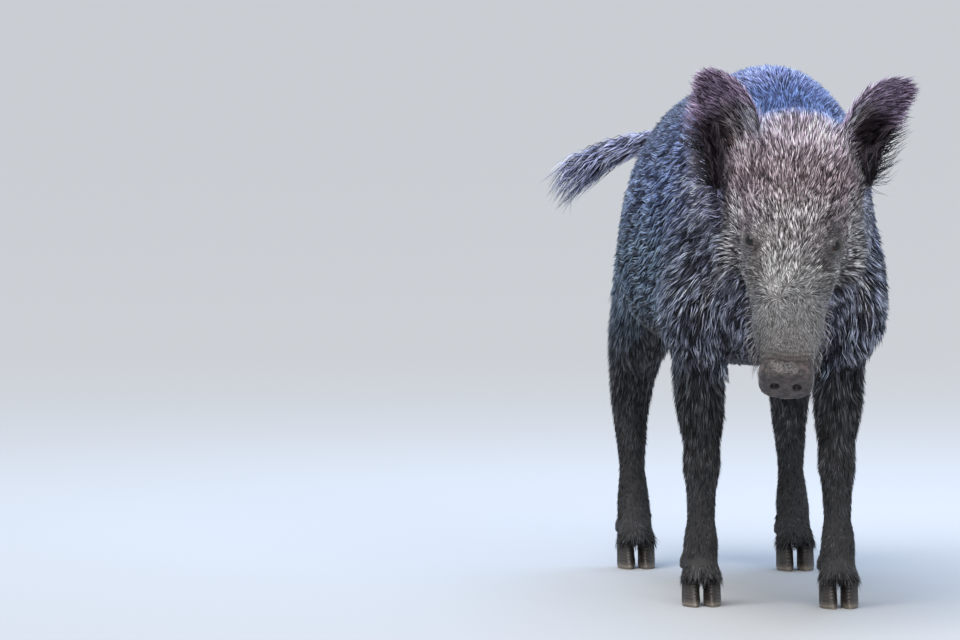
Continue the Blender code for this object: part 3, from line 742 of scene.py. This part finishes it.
def coat_tones(points, normals, weights):
    """(root colour, tip colour) of the coat at each point, with a painted blue sky sheen on the upper coat.
    """
    forward, level, _ = from_body(points)
    along, height, across = in_head(points)
    # How far the coat faces up. The strong blue there, and higher up the body, is a painted sky sheen over a
    # grey coat.
    facing_sky = ramp(normals[:, 2], 0.0, 0.8)
    coat = Tones(blend((0.24, 0.325, 0.465), (0.38, 0.5, 0.98), ramp(level, 0.47, 0.57)),
                 blend((0.006, 0.007, 0.011), (0.022, 0.028, 0.066), facing_sky))
    coat.lay(facing_sky, (0.16, 0.225, 0.5))
    # Greyer where the coat faces back and on top behind the withers: the painted sky sheen is left off there.
    behind = np.maximum(ramp(forward, -0.02, -0.18) * facing_sky, ramp(normals[:, 1], 0.2, 0.7))
    coat.lay(behind, (0.215, 0.245, 0.335), (0.012, 0.013, 0.018), 0.9)
    # A painted rim light: paler blue tips along the top of the back about the withers.
    painted_rim_light = ramp(forward, 0.17, 0.09) * ramp(forward, -0.1, 0.0) * facing_sky
    coat.lay(painted_rim_light, (0.44, 0.5, 0.96), strength=0.8)
    coat.lay(ramp(level, 0.44, 0.3), (0.25, 0.28, 0.32), (0.01, 0.01, 0.011), 0.8)
    belly = ramp(-normals[:, 2], 0.35, 0.8)
    coat.lay(belly, (0.09, 0.088, 0.09), (0.022, 0.019, 0.018))
    ruff = ramp(forward, -0.02, 0.16) * (1 - facing_sky)
    # The ruff's pale tips carry the painted sky sheen too, bluer higher up.
    ruff_tip = blend((0.5, 0.515, 0.68), (0.76, 0.69, 1.05), ramp(level, 0.5, 0.58))
    coat.lay(ruff, ruff_tip, (0.016, 0.014, 0.018), 0.8)

    face = face_tones(points, along, height, across)
    aside = np.abs(across)
    edge_of_cheek = np.interp(level, (0.385, 0.412, 0.445, 0.483, 0.56), (0.118, 0.112, 0.1, 0.086, 0.082))
    on_face = ramp(weights[:, HEAD] + weights[:, EAR], 0.3, 0.8) * ramp(along, -0.02, 0.006)
    beyond = 0.85 * ramp(aside - edge_of_cheek, 0.0, 0.01)
    coat.lay(on_face * (1 - beyond * (1 - ramp(weights[:, EAR], 0.1, 0.4))), face.tip, face.root)
    streak = bell(aside - edge_of_cheek, -0.01, 0.007) * ramp(level, 0.375, 0.41) * ramp(level, 0.575, 0.53)
    streak = streak * ramp(forward, 0.06, 0.14) * ramp(normals[:, 1], 0.5, 0.0)
    coat.lay(streak, (0.86, 0.84, 0.88), strength=0.9)

    ear = ear_tones(points, normals)
    coat.lay(ramp(weights[:, EAR], 0.25, 0.75), ear.tip, ear.root)
    leg = ramp(weights[:, LEG], 0.2, 0.8) * ramp(level, 0.38, 0.26)
    coat.lay(leg, (0.15, 0.148, 0.155), (0.012, 0.011, 0.011))
    coat.lay(ramp(weights[:, TAIL], 0.2, 0.8), (0.57, 0.61, 0.95), (0.025, 0.026, 0.038))
    drift = 1 + 0.22 * waves(points, 0.11, 11) + 0.12 * waves(points, 0.035, 12)
    return coat.root * drift[:, None], coat.tip * drift[:, None]


# The lie of the coat


EARS = {
    -1: (place(0.25, 0.56, -0.076), place(0.25, 0.648, -0.066), place(0.29, 0.718, -0.124)),
    1: (place(0.246, 0.564, 0.06), place(0.242, 0.664, 0.058), place(0.28, 0.699, 0.148)),
}
EAR_OPENINGS = {-1: np.array((-0.3, -0.95, 0.0)), 1: np.array((0.62, -0.78, 0.0))}


def ear_share(points, side):
    """How far up the ear each point lies, the ear's direction there and the nearest point of its core."""
    root, middle, tip = (np.array(item) for item in EARS[side])
    steps = np.linspace(0, 1, 21)[:, None]
    path = root * (1 - steps) ** 2 + middle * 2 * steps * (1 - steps) + tip * steps**2
    nearest = np.linalg.norm(points[:, None, :] - path[None], axis=2).argmin(axis=1)
    share = steps[nearest]
    way = (middle - root) * (1 - share) + (tip - middle) * share
    return share[:, 0], unit(way), path[nearest]


def by_ear(points, chosen=True):
    """For each ear: its side, which chosen points lie on that side, and what ear_share says of them."""
    on_left = points[:, 0] - SHIFT.x > EAR_DIVIDE
    for side in (-1, 1):
        mine = (on_left == (side > 0)) & chosen
        if mine.any():
            yield side, mine, *ear_share(points[mine], side)


def ear_places(points, normals):
    """How far up its ear, towards the middle of the head and inside the ear's hollow each point lies."""
    share, edge, inside = np.zeros((3, len(points)))
    for side, mine, up, way, core in by_ear(points):
        opening = EAR_OPENINGS[side]
        share[mine] = up
        edge[mine] = ((points[mine] - core) * unit(np.cross(way, opening))).sum(axis=1) * -side
        inside[mine] = normals[mine] @ opening
    return share, edge, inside


def lie(points, normals, weights):
    """The direction in which the coat lies at each point."""
    forward, level, lateral = from_body(points)
    along, height, across = in_head(points)
    count = len(points)
    shoulder = ramp(forward, -0.14, 0.02) * ramp(level, 0.66, 0.5)
    rump = ramp(forward, -0.42, -0.6)
    drop = np.abs(normals[:, 0]) * (0.45 + 0.75 * shoulder + 0.8 * rump) + 0.25 * ramp(level, 0.45, 0.34)
    chest = ramp(-normals[:, 1], 0.3, 0.8) * ramp(level, 0.62, 0.5)
    seat = ramp(normals[:, 1], 0.4, 0.85)
    body = ways(count, lateral * 0.8, 1.0, -drop)
    body += ways(count, lateral * 2.0, 0.0, -2.2) * chest[:, None]
    body += ways(count, 0.0, 0.0, -1.8) * seat[:, None]
    neck = ways(count, np.sign(lateral) * 0.3, 1.0, -0.12 - 0.62 * ramp(level, 0.62, 0.48))

    fan = ways(count, across + 0.003, np.clip(along, *PARTING) - along, height - PARTING_HEIGHT)
    head = unit(fan) + 0.14 * ways(count, waves(points, 0.03, 41), waves(points, 0.03, 42), 0.0)
    beside = ways(count, np.sign(across) * 0.4, 0.45 - 0.75 * ramp(along, 0.2, 0.3), -0.75)
    cheek = ramp(np.abs(across), 0.026, 0.05) * ramp(along, 0.125, 0.175) + ramp(height, -0.05, -0.09)
    cheek = np.clip(cheek, 0, 1)[:, None]
    head = (unit(head) * (1 - cheek) + beside * cheek) @ HEAD_TURN.T
    poll = 0.5 * ramp(along, 0.1, 0.0)[:, None]
    head = head * (1 - poll) + HEAD_TURN @ np.array((0.0, 1.0, 0.0)) * poll

    ear = np.zeros_like(points)
    for side, mine, _, way, core in by_ear(points):
        ear[mine] = way + np.array((side * 0.8, 0.15, 0.0)) + unit(points[mine] - core) * 0.15
    leg = ways(count, 0.0, 0.18, -1.0)

    middles = (TAIL_POINTS[1:] + TAIL_POINTS[:-1]) / 2
    nearest = np.linalg.norm(points[:, None] - middles[None], axis=2).argmin(axis=1)
    tail = unit(TAIL_POINTS[1:] - TAIL_POINTS[:-1])[nearest]
    parts = (unit(body), unit(neck), unit(head), unit(ear), unit(leg), tail)
    total = sum(part * weights[:, k : k + 1] for k, part in enumerate(parts))
    return unit(total - normals * (total * normals).sum(axis=1, keepdims=True))


class Ground:
    """The skin as the place where the coat is rooted."""

    def __init__(self, skin, weights):
        mesh = skin.data
        self.points, self.normals = points_of(mesh), normals_of(mesh)
        self.corners = triangles_of(mesh)
        self.weights = weights
        self.flow = lie(self.points, self.normals, weights)
        self.root, self.tip = coat_tones(self.points, self.normals, weights)
        self.areas = areas_of(self.points, self.corners)
        self.centre = self.points[self.corners].sum(axis=1) / 3
        self.face_weights = weights[self.corners].sum(axis=1) / 3

    def scatter(self, chosen, spacing):
        """Evenly spread roots on the chosen faces, about one for each cell of the given size."""
        faces = np.nonzero(chosen)[0]
        areas = self.areas[faces]
        picks, shares = scatter_on(RANDOM, areas, int(TRIES_PER_CELL * areas.sum() / spacing**2))
        picks = faces[picks]
        kept = one_per_cell(mix_corners(self.points, self.corners[picks], shares), spacing, 0.37)
        return Roots(self, picks[kept], shares[kept])


class Roots:
    """Where tufts grow, with all that the skin says there."""

    FIELDS = ("points", "normals", "flow", "root", "tip")

    def __init__(self, ground, picks, shares):
        for name in self.FIELDS:
            values = mix_corners(getattr(ground, name), ground.corners[picks], shares)
            setattr(self, name, unit(values) if name in ("normals", "flow") else values)
        self.count = len(picks)

    def keep(self, mask):
        for name in self.FIELDS:
            setattr(self, name, getattr(self, name)[mask])
        self.count = int(mask.sum())
        return self


def unwrap_of(skin):
    """A light copy of the skin, unwrapped, that gives each root its place on the map."""
    light = placed("unwrap", skin.data.copy())
    apply_modifier(light, "DECIMATE", ratio=UNWRAP_TRIANGLES / len(light.data.polygons))
    project = bpy.ops.uv.smart_project
    edit_all(light, project, angle_limit=radians(70), island_margin=MAP_MARGIN, area_weight=0.5)
    mesh = light.data
    points, corners = points_of(mesh), triangles_of(mesh)
    loops = rows_of(mesh.loop_triangles, "loops", 3, np.int32)
    flat = rows_of(mesh.uv_layers.active.data, "uv", 2)[loops]
    tree = BVHTree.FromPolygons([Vector(point) for point in points], corners.tolist())
    bpy.data.objects.remove(light)

    def look_up(wanted):
        spots, which = np.zeros((len(wanted), 3)), np.zeros(len(wanted), int)
        for k, point in enumerate(wanted):
            spots[k], _, which[k], _ = tree.find_nearest(point)
        a, b, c = (points[corners[which, k]] for k in range(3))
        opposite = (np.cross(c - b, spots - b), np.cross(a - c, spots - c), np.cross(b - a, spots - a))
        shares = np.linalg.norm(opposite, axis=2)
        shares /= np.maximum(shares.sum(axis=0), 1e-9)
        found = sum(flat[which, k] * shares[k][:, None] for k in range(3))
        return np.clip(found, MAP_MARGIN, 1 - MAP_MARGIN)

    return look_up


BENT_TUFT = (
    ((0, 1, 4), (0, 4, 3), (1, 2, 5), (1, 5, 4), (2, 0, 3), (2, 3, 5), (3, 4, 6), (4, 5, 6), (5, 3, 6),
     (2, 1, 0)),
    (0.0, 0.0, 0.0, 0.5, 0.5, 0.5, 1.0),
    ((-1, -1), (0, -1), (1, -1), (-0.8, 0.1), (0, 0.1), (0.8, 0.1), (0, 1)),
)
STRAIGHT_TUFT = (
    ((0, 1, 3), (1, 2, 3), (2, 0, 3), (2, 1, 0)),
    (0.0, 0.0, 0.0, 1.0),
    ((-1, -1), (0, -1), (1, -1), (0, 1)),
)


def gathered(roots, size, contrast):
    """Gathers neighbouring tufts into locks: the leader of each tuft, and how bright its lock is."""
    kept = one_per_cell(roots.points, size)
    tree = tree_of(roots.points[kept])
    lead = np.array([tree.find(point)[1] for point in roots.points])
    lit = RANDOM.uniform(0.05, 0.4, len(kept))
    lit = np.where(RANDOM.random(len(kept)) < 0.5, RANDOM.uniform(1.25, 2.4, len(kept)), lit)
    glow = 1 + (lit - 1) * np.broadcast_to(contrast, roots.count)[kept]
    return kept[lead], glow[lead]


def grow(name, roots, length, width, lift, settle_lift, curl=0.0, clump=0.0, clump_size=0.01, sink=0.0012,
         bent=True, droop=0.0, pale=0.42, dark=0.3, stray=0.12, contrast=0.3, slot="coat"):
    """Builds one piece of coat: a closed three-sided tapered tuft on each root."""
    count = roots.count

    def varied(value, low, high):
        return (np.broadcast_to(value, count) * RANDOM.uniform(low, high, count))[:, None]

    def slope(angle):
        return np.tan(np.radians(np.broadcast_to(angle, count) + RANDOM.normal(0, 5, count)))[:, None]

    length = varied(length, 0.78, 1.18)
    width = varied(width, 0.8, 1.2)
    normal = roots.normals
    across = unit(np.cross(roots.flow, normal))
    sway = waves(roots.points, 0.045, 21) * 0.5 + RANDOM.normal(0, stray, count)
    flow = unit(roots.flow + across * sway[:, None] * 0.55)
    across = unit(np.cross(flow, normal))
    rise = slope(lift)
    fall = slope(settle_lift)
    bow = varied(curl, 0.5, 1.4) * np.sign(waves(roots.points, 0.06, 22))[:, None]
    start = roots.points - normal * sink
    middle = start + unit(flow + normal * rise - across * (bow * 0.35)) * (length * 0.5)
    second = unit(flow + normal * fall + across * bow)
    if droop:
        second = unit(second + np.array((0.0, 0.0, -1.0)) * droop)
    tip = middle + second * (length * 0.5)
    bright = np.ones(count)
    if np.any(np.asarray(clump) > 0):
        leader, bright = gathered(roots, clump_size, contrast)
        pull = np.broadcast_to(clump, count)[:, None]
        tip = tip + (tip[leader] - tip) * pull
        middle = middle + (middle[leader] - middle) * pull * 0.45
    along = unit(tip - start)
    across = unit(np.cross(along, normal))
    upward = unit(np.cross(across, along))

    def ring(centre, size):
        half = width * size / 2
        return centre - across * half, centre + upward * half * 1.1, centre + across * half

    faces, shares, flat = BENT_TUFT if bent else STRAIGHT_TUFT
    rows = (*ring(start, 1.0), *(ring(middle, 0.82) if bent else ()), tip)
    corners = (np.arange(count)[:, None, None] * len(rows) + np.array(faces)).reshape(-1, 3)
    kind = RANDOM.random(count)
    light = np.where(kind < pale, RANDOM.uniform(1.15, 1.9, count), RANDOM.uniform(0.42, 0.95, count))
    light = (np.where(kind > 1 - dark, RANDOM.uniform(0.03, 0.22, count), light) * bright)[:, None]
    tones = []
    for share in shares:
        part = share * (0.72 + 0.28 * share)
        tones.append(roots.root * (1 - part) + roots.tip * part * light)
    points, tones = (np.stack(part, axis=1).reshape(-1, 3) for part in (rows, tones))
    spots = (MAP_PLACE(roots.points)[:, None, :] + np.array(flat)[None] * MAP_PATCH).reshape(-1, 2)
    mesh = bpy.data.meshes.new(name)
    mesh.from_pydata(points.tolist(), [], corners.tolist(), shade_flat=False)
    put_tone(mesh, np.clip(tones, 0.002, 0.9))
    mesh.uv_layers.new(name="OFBake").data.foreach_set("uv", spots[corners].astype(np.float32).ravel())
    settle(placed(name, mesh), name, COATS[slot])


# Assembly


skin = build_skin()
skin_weights = region_weights(skin.data)
settle(skin, "skin", skin_finish())
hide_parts(*FLESH, "tail")
MAP_PLACE = unwrap_of(skin)
ground = Ground(skin, skin_weights)
flesh_share = ramp(skin_weights[:, [BODY, NECK]].sum(axis=1), 0.3, 0.8)[:, None]
put_tone(skin.data, ground.root * (0.7 - 0.2 * flesh_share) + ground.tip * (0.12 - 0.08 * flesh_share))

ROUGHNESS = {"coat": 0.42, "face_coat": 0.55, "ear_coat": 0.45}
COATS = {name: coat_finish(name, roughness) for name, roughness in ROUGHNESS.items()}


def build_eyes():
    for word, side in SIDES.items():
        centre, gaze, *_ = eye_axes(side)
        turn = Vector(gaze).to_track_quat("Z", "Y").to_euler()
        ball = added(bpy.ops.mesh.primitive_uv_sphere_add, segments=40, ring_count=28, radius=EYE_RADIUS,
                     location=centre, rotation=turn)
        bpy.ops.object.transform_apply()
        points = points_of(ball.data)
        facing = unit(points - centre) @ gaze
        move_points(ball.data, points + gaze * (ramp(facing, 0.62, 1.0) * 0.0009)[:, None])
        bpy.ops.object.shade_smooth()
        settle(ball, f"eyeball_{word}", eye_finish(f"eye_{word}", centre, gaze))
        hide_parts(f"eye_{word}")


def build_snout():
    disc = copy_of("snout")
    apply_modifier(disc, "REMESH", mode="VOXEL", voxel_size=0.0011)
    apply_modifier(disc, "SMOOTH", factor=0.5, iterations=6)
    points = points_of(disc.data)
    along = in_head(points)[0]
    back = HEAD_TURN @ np.array((0.0, 1.0, 0.0))
    outward = points - np.array(middle_of("snout"))
    outward = outward - back * (outward @ back)[:, None]
    points += outward * (ramp(along, 0.354, 0.343) * 0.055)[:, None]
    points += back * (ramp(along, 0.3445, 0.341) * 0.006)[:, None]
    pebbles = waves(points, 0.006, 31) * 0.00025 + waves(points, 0.02, 32) * 0.0004
    move_points(disc.data, points + normals_of(disc.data) * pebbles[:, None])
    bpy.ops.object.shade_smooth()
    settle(disc, "snout_disc", snout_finish())
    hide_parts("snout")


def build_claws():
    horn = horn_finish()
    for kind, voxel in (("claw", 0.0022), ("dewclaw", 0.0018)):
        names = [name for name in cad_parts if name.startswith(kind + "_")]
        joined = join([copy_of(name) for name in sorted(names)])
        apply_modifier(joined, "REMESH", mode="VOXEL", voxel_size=voxel)
        apply_modifier(joined, "SMOOTH", factor=0.5, iterations=4)
        if kind == "claw":
            points = points_of(joined.data)
            points[:, 2] += ramp(points[:, 2], 0.018, 0.03) * 0.004
            points[:, 2] = np.maximum(points[:, 2], 0.0)
            move_points(joined.data, points)
        bpy.ops.object.shade_smooth_by_angle(angle=radians(40))
        settle(joined, kind + "s", horn)
        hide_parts(*names)


build_eyes()
build_snout()
build_claws()


def outside_lids(points, margin):
    clear = np.ones(len(points), bool)
    for side in (-1, 1):
        outside, reach, *_ = lid_distance(points, side)
        clear &= ~((outside < margin) & (reach < 0.022))
    return clear


def clear_roots(chosen, spacing, margin, thin=None):
    """Roots that keep clear of the lids and of the line between the lips, thinned along the face."""
    roots = ground.scatter(chosen, spacing)
    clear = outside_lids(roots.points, margin) & (mouth_distance(roots.points) > LIP_CLEARANCE)
    if thin:
        along = in_head(roots.points)[0]
        clear &= (along < MUZZLE_END) & (RANDOM.random(roots.count) < ramp(along, *thin))
    return roots.keep(clear)


def body_hair(roots):
    """How far each root faces up, how far it stands in the ruff of the neck, and its length of hair."""
    forward = from_body(roots.points)[0]
    up = ramp(roots.normals[:, 2], 0.3, 0.85)
    belly = ramp(-roots.normals[:, 2], 0.3, 0.8)
    ruff = ramp(forward, -0.02, 0.12) * (1 - up)
    return up, ruff, 0.0225 - 0.0035 * up - 0.006 * belly + 0.005 * ruff


def along_body(names, cuts, body, spacing):
    """The name and roots of each piece of the body's coat, cut across, and what body_hair says of them."""
    forward = from_body(ground.centre)[0]
    for name, low, high in zip(names, (-1.0, *cuts), (*cuts, 1.0)):
        chosen = body & (forward > low) & (forward <= high)
        roots = ground.scatter(chosen, spacing + 0.0004 * (high < -0.2))
        yield f"coat_{name}", roots, *body_hair(roots)


def build_body_coat(body):
    """Two layers on trunk and neck: bent tufts in locks, and finer straight ones between them."""
    names, cuts = ("rump", "loin", "ribs", "shoulder", "neck"), (-0.45, -0.285, -0.13, 0.03)
    for name, roots, up, ruff, length in along_body(names, cuts, body, 0.0037):
        curl, clump = 0.34 * (1 - up) * (1 - 0.4 * ruff), 0.66 - 0.36 * up - 0.1 * ruff
        grow(name, roots, length, 0.0017 - 0.0003 * (up + ruff), 41 + 6 * up - 11 * ruff, 17 + 12 * up,
             curl, clump, 0.0064, stray=0.22, pale=0.45, dark=0.25, contrast=1.0 - 0.7 * up)
    names, cuts = ("fine_hind", "fine_middle", "fine_fore"), (-0.36, -0.1)
    for name, roots, up, ruff, length in along_body(names, cuts, body, 0.0036):
        clump = 0.45 - 0.25 * up - 0.1 * ruff
        grow(name, roots, length * 0.88, 0.0011, 31 + 8 * up - 5 * ruff, 0, 0.0, clump, 0.0052,
             bent=False, stray=0.28, dark=0.34, contrast=0.9 - 0.6 * up)


def build_face_coat(face):
    """Two layers on the face, short hair on the muzzle and the shortest round the lids."""
    along, height, _ = in_head(ground.centre)
    for name, chosen in (("coat_face", height > -0.072), ("coat_cheeks", height <= -0.072)):
        roots = clear_roots(face & chosen & (along < 0.27), 0.0024, 0.3, (0.265, 0.225))
        a, h, _ = in_head(roots.points)
        by_eye = ramp(eye_reach(roots.points), 0.04, 0.018)
        jowl = ramp(h, -0.06, -0.11) * ramp(a, 0.22, 0.13)
        length = 0.0185 - 0.0065 * ramp(a, 0.0, 0.11) - 0.0035 * ramp(a, 0.15, 0.25) + 0.012 * jowl
        width = (0.0012 - 0.0002 * ramp(a, 0.14, 0.24)) * (1 - 0.4 * by_eye)
        lift = 40 - 10 * ramp(a, 0.02, 0.12) - 10 * by_eye
        grow(name, roots, length * (1 - 0.5 * by_eye), width, lift, 16, 0.12, 0.34, 0.0054, contrast=0.55,
             slot="face_coat", dark=0.36)
    roots = clear_roots(face & (height > -0.085) & (along < 0.25), 0.0024, 0.3)
    a = in_head(roots.points)[0]
    length = (0.016 - 0.0055 * ramp(a, 0.0, 0.11)) * (1 - 0.5 * ramp(eye_reach(roots.points), 0.04, 0.018))
    grow("coat_face_fine", roots, length, 0.0008, 34 - 8 * ramp(a, 0.02, 0.12), 12, bent=False,
         stray=0.2, pale=0.44, dark=0.34, slot="face_coat")
    roots = clear_roots(face & (along >= 0.205), 0.0016, 0.22, (0.2, 0.25))
    a = in_head(roots.points)[0]
    length, width = 0.011 - 0.005 * ramp(a, 0.23, 0.33), 0.001 - 0.0003 * ramp(a, 0.23, 0.32)
    grow("coat_muzzle", roots, length, width, 22, 12, bent=False, sink=0.0008, pale=0.45, stray=0.2,
         slot="face_coat")

    roots = ground.scatter(face & (eye_reach(ground.centre) < 0.036), 0.0014)
    thinned = RANDOM.random(roots.count) < ramp(eye_reach(roots.points), 0.036, 0.026)
    roots.keep(outside_lids(roots.points, 0.12) & thinned)
    length = 0.0036 + 0.0034 * ramp(eye_reach(roots.points), 0.015, 0.03)
    grow("coat_lids", roots, length, 0.0007, 20, 10, bent=False, sink=0.0004, slot="face_coat", pale=0.4)


def build_ear_coat(ears):
    """Short hair all over the ears, and a fringe that is longest on the outer edge."""
    roots = ground.scatter(ears, 0.0021)
    grow("coat_ears", roots, 0.0135, 0.0009, 13, 8, bent=False, sink=0.0005, slot="ear_coat", dark=0.34)
    roots = ground.scatter(ears, 0.003)
    share, edge, inside = ear_places(roots.points, roots.normals)
    brim = ramp(np.abs(edge), 0.02, 0.03) + ramp(share, 0.8, 0.95) * 0.6 + ramp(share, 0.25, 0.05) * 0.6
    roots.keep(RANDOM.random(roots.count) < 0.16 + 0.14 * ramp(inside, 0.0, 0.5) + brim)
    share, edge, _ = ear_places(roots.points, roots.normals)
    outer = ramp(edge, -0.012, -0.024) * ramp(share, 0.95, 0.6)
    long = outer * ramp(share, 0.75, 0.5)
    length = 0.0215 + 0.006 * outer + 0.015 * long - 0.004 * ramp(share, 0.6, 0.95)
    grow("coat_ear_fringe", roots, length, 0.001, 17 + 20 * outer + 20 * long, 10 + 22 * long, 0.2, 0.3,
         0.006, sink=0.0005, slot="ear_coat", pale=0.45)


def build_leg_coat(legs):
    """Hair that gets shorter down the legs, with a cuff over the claws."""
    front = from_body(ground.centre)[0] > -0.25
    for name, chosen in (("coat_legs_front", front), ("coat_legs_hind", ~front)):
        roots = ground.scatter(legs & chosen, 0.0031)
        high = ramp(roots.points[:, 2], 0.1, 0.34)
        cuff = ramp(roots.points[:, 2], 0.062, 0.046)
        grow(name, roots, 0.009 + 0.0125 * high + 0.007 * cuff, 0.0014 + 0.0002 * high, 22 + 15 * high, 6,
             bent=False, clump=0.5 * high, clump_size=0.007, stray=0.2, contrast=0.3 + 0.5 * high)


def build_tail_coat(tails):
    """The tail's long hair, longest in its tuft."""
    roots = ground.scatter(tails, 0.0023)
    start, end = TAIL_POINTS[1, 0], TAIL_POINTS[-1, 0]
    share = np.clip((start - roots.points[:, 0]) / (start - end), 0, 1)
    grow("coat_tail", roots, 0.032 + 0.042 * ramp(share, 0.35, 0.95), 0.0016, 30, 6, 0.25, 0.28, 0.007,
         droop=0.3, sink=0.0008, pale=0.5)


def build_whiskers(face):
    """A few long hairs over the eyes and beside the lips."""
    roots = ground.scatter(face & (in_head(ground.centre)[0] > 0.12), 0.0075)
    a, h, c = in_head(roots.points)
    brow = (a < 0.15) & (h > -0.03) & (np.abs(c) > 0.025)
    lips = (a > 0.235) & (a < 0.325) & (h < -0.035)
    roots.keep((brow | lips) & outside_lids(roots.points, 0.4))
    grow("coat_whiskers", roots, 0.03, 0.0008, 42, 16, 0.2, slot="face_coat", pale=0.3)


def build_coat():
    """The coat, region by region, in pieces that each stay under the limit of triangles."""
    weights = ground.face_weights
    face = weights[:, HEAD] > 0.5
    build_body_coat(weights[:, [BODY, NECK]].sum(axis=1) > 0.5)
    build_face_coat(face)
    build_ear_coat(weights[:, EAR] > 0.5)
    build_leg_coat(weights[:, LEG] > 0.5)
    build_tail_coat(weights[:, TAIL] > 0.5)
    build_whiskers(face)


build_coat()


# Studio


def aim(item, direction):
    item.rotation_euler = direction.to_track_quat("-Z", "Y").to_euler()


def add_light(kind, location, energy, direction, **settings):
    item = added(bpy.ops.object.light_add, type=kind, location=location)
    item.data.energy = energy
    for key, value in settings.items():
        setattr(item.data, key, value)
    aim(item, direction)


def build_studio():
    floor_finish = Finish("floor", (0.4, 0.412, 0.43), 0.9, Specular_IOR_Level=0.1)
    floor = added(bpy.ops.mesh.primitive_plane_add, size=120)
    floor.name = "floor"
    floor.data.materials.append(floor_finish.material)

    scene = bpy.context.scene
    scene.world = bpy.data.worlds.new("studio")
    scene.world.use_nodes = True
    scene.world.node_tree.nodes["Background"].inputs[0].default_value = (0.585, 0.62, 0.665, 1.0)
    front, sheen = Vector((1.6, -8.0, 4.2)), Vector((0.3, 1.5, 2.4))
    sunward = Vector((0.42, 0.5, -0.95))
    add_light("SUN", (-3, -4, 6), 3.3, sunward, angle=radians(50), color=(1.0, 0.98, 0.96))
    add_light("AREA", front, 420, place(0.2, 0.45) - front, size=5.0)
    add_light("AREA", sheen, 60, place(-0.15, 0.6) - sheen, size=1.6, color=(0.45, 0.66, 1.0))

    azimuth, elevation = radians(-8), radians(4)
    back = Vector((sin(azimuth) * cos(elevation), -cos(azimuth) * cos(elevation), sin(elevation)))
    right = Vector((cos(azimuth), sin(azimuth), 0))
    sow = place(0.0, 0.375, 0.036)
    spot = sow + back * CAMERA_DISTANCE
    camera = added(bpy.ops.object.camera_add, location=spot)
    camera.data.lens = 412
    camera.data.clip_end = 200
    aim(camera, sow - right * CAMERA_ASIDE - spot)
    scene.camera = camera
    scene.view_settings.view_transform = "Standard"


build_studio()
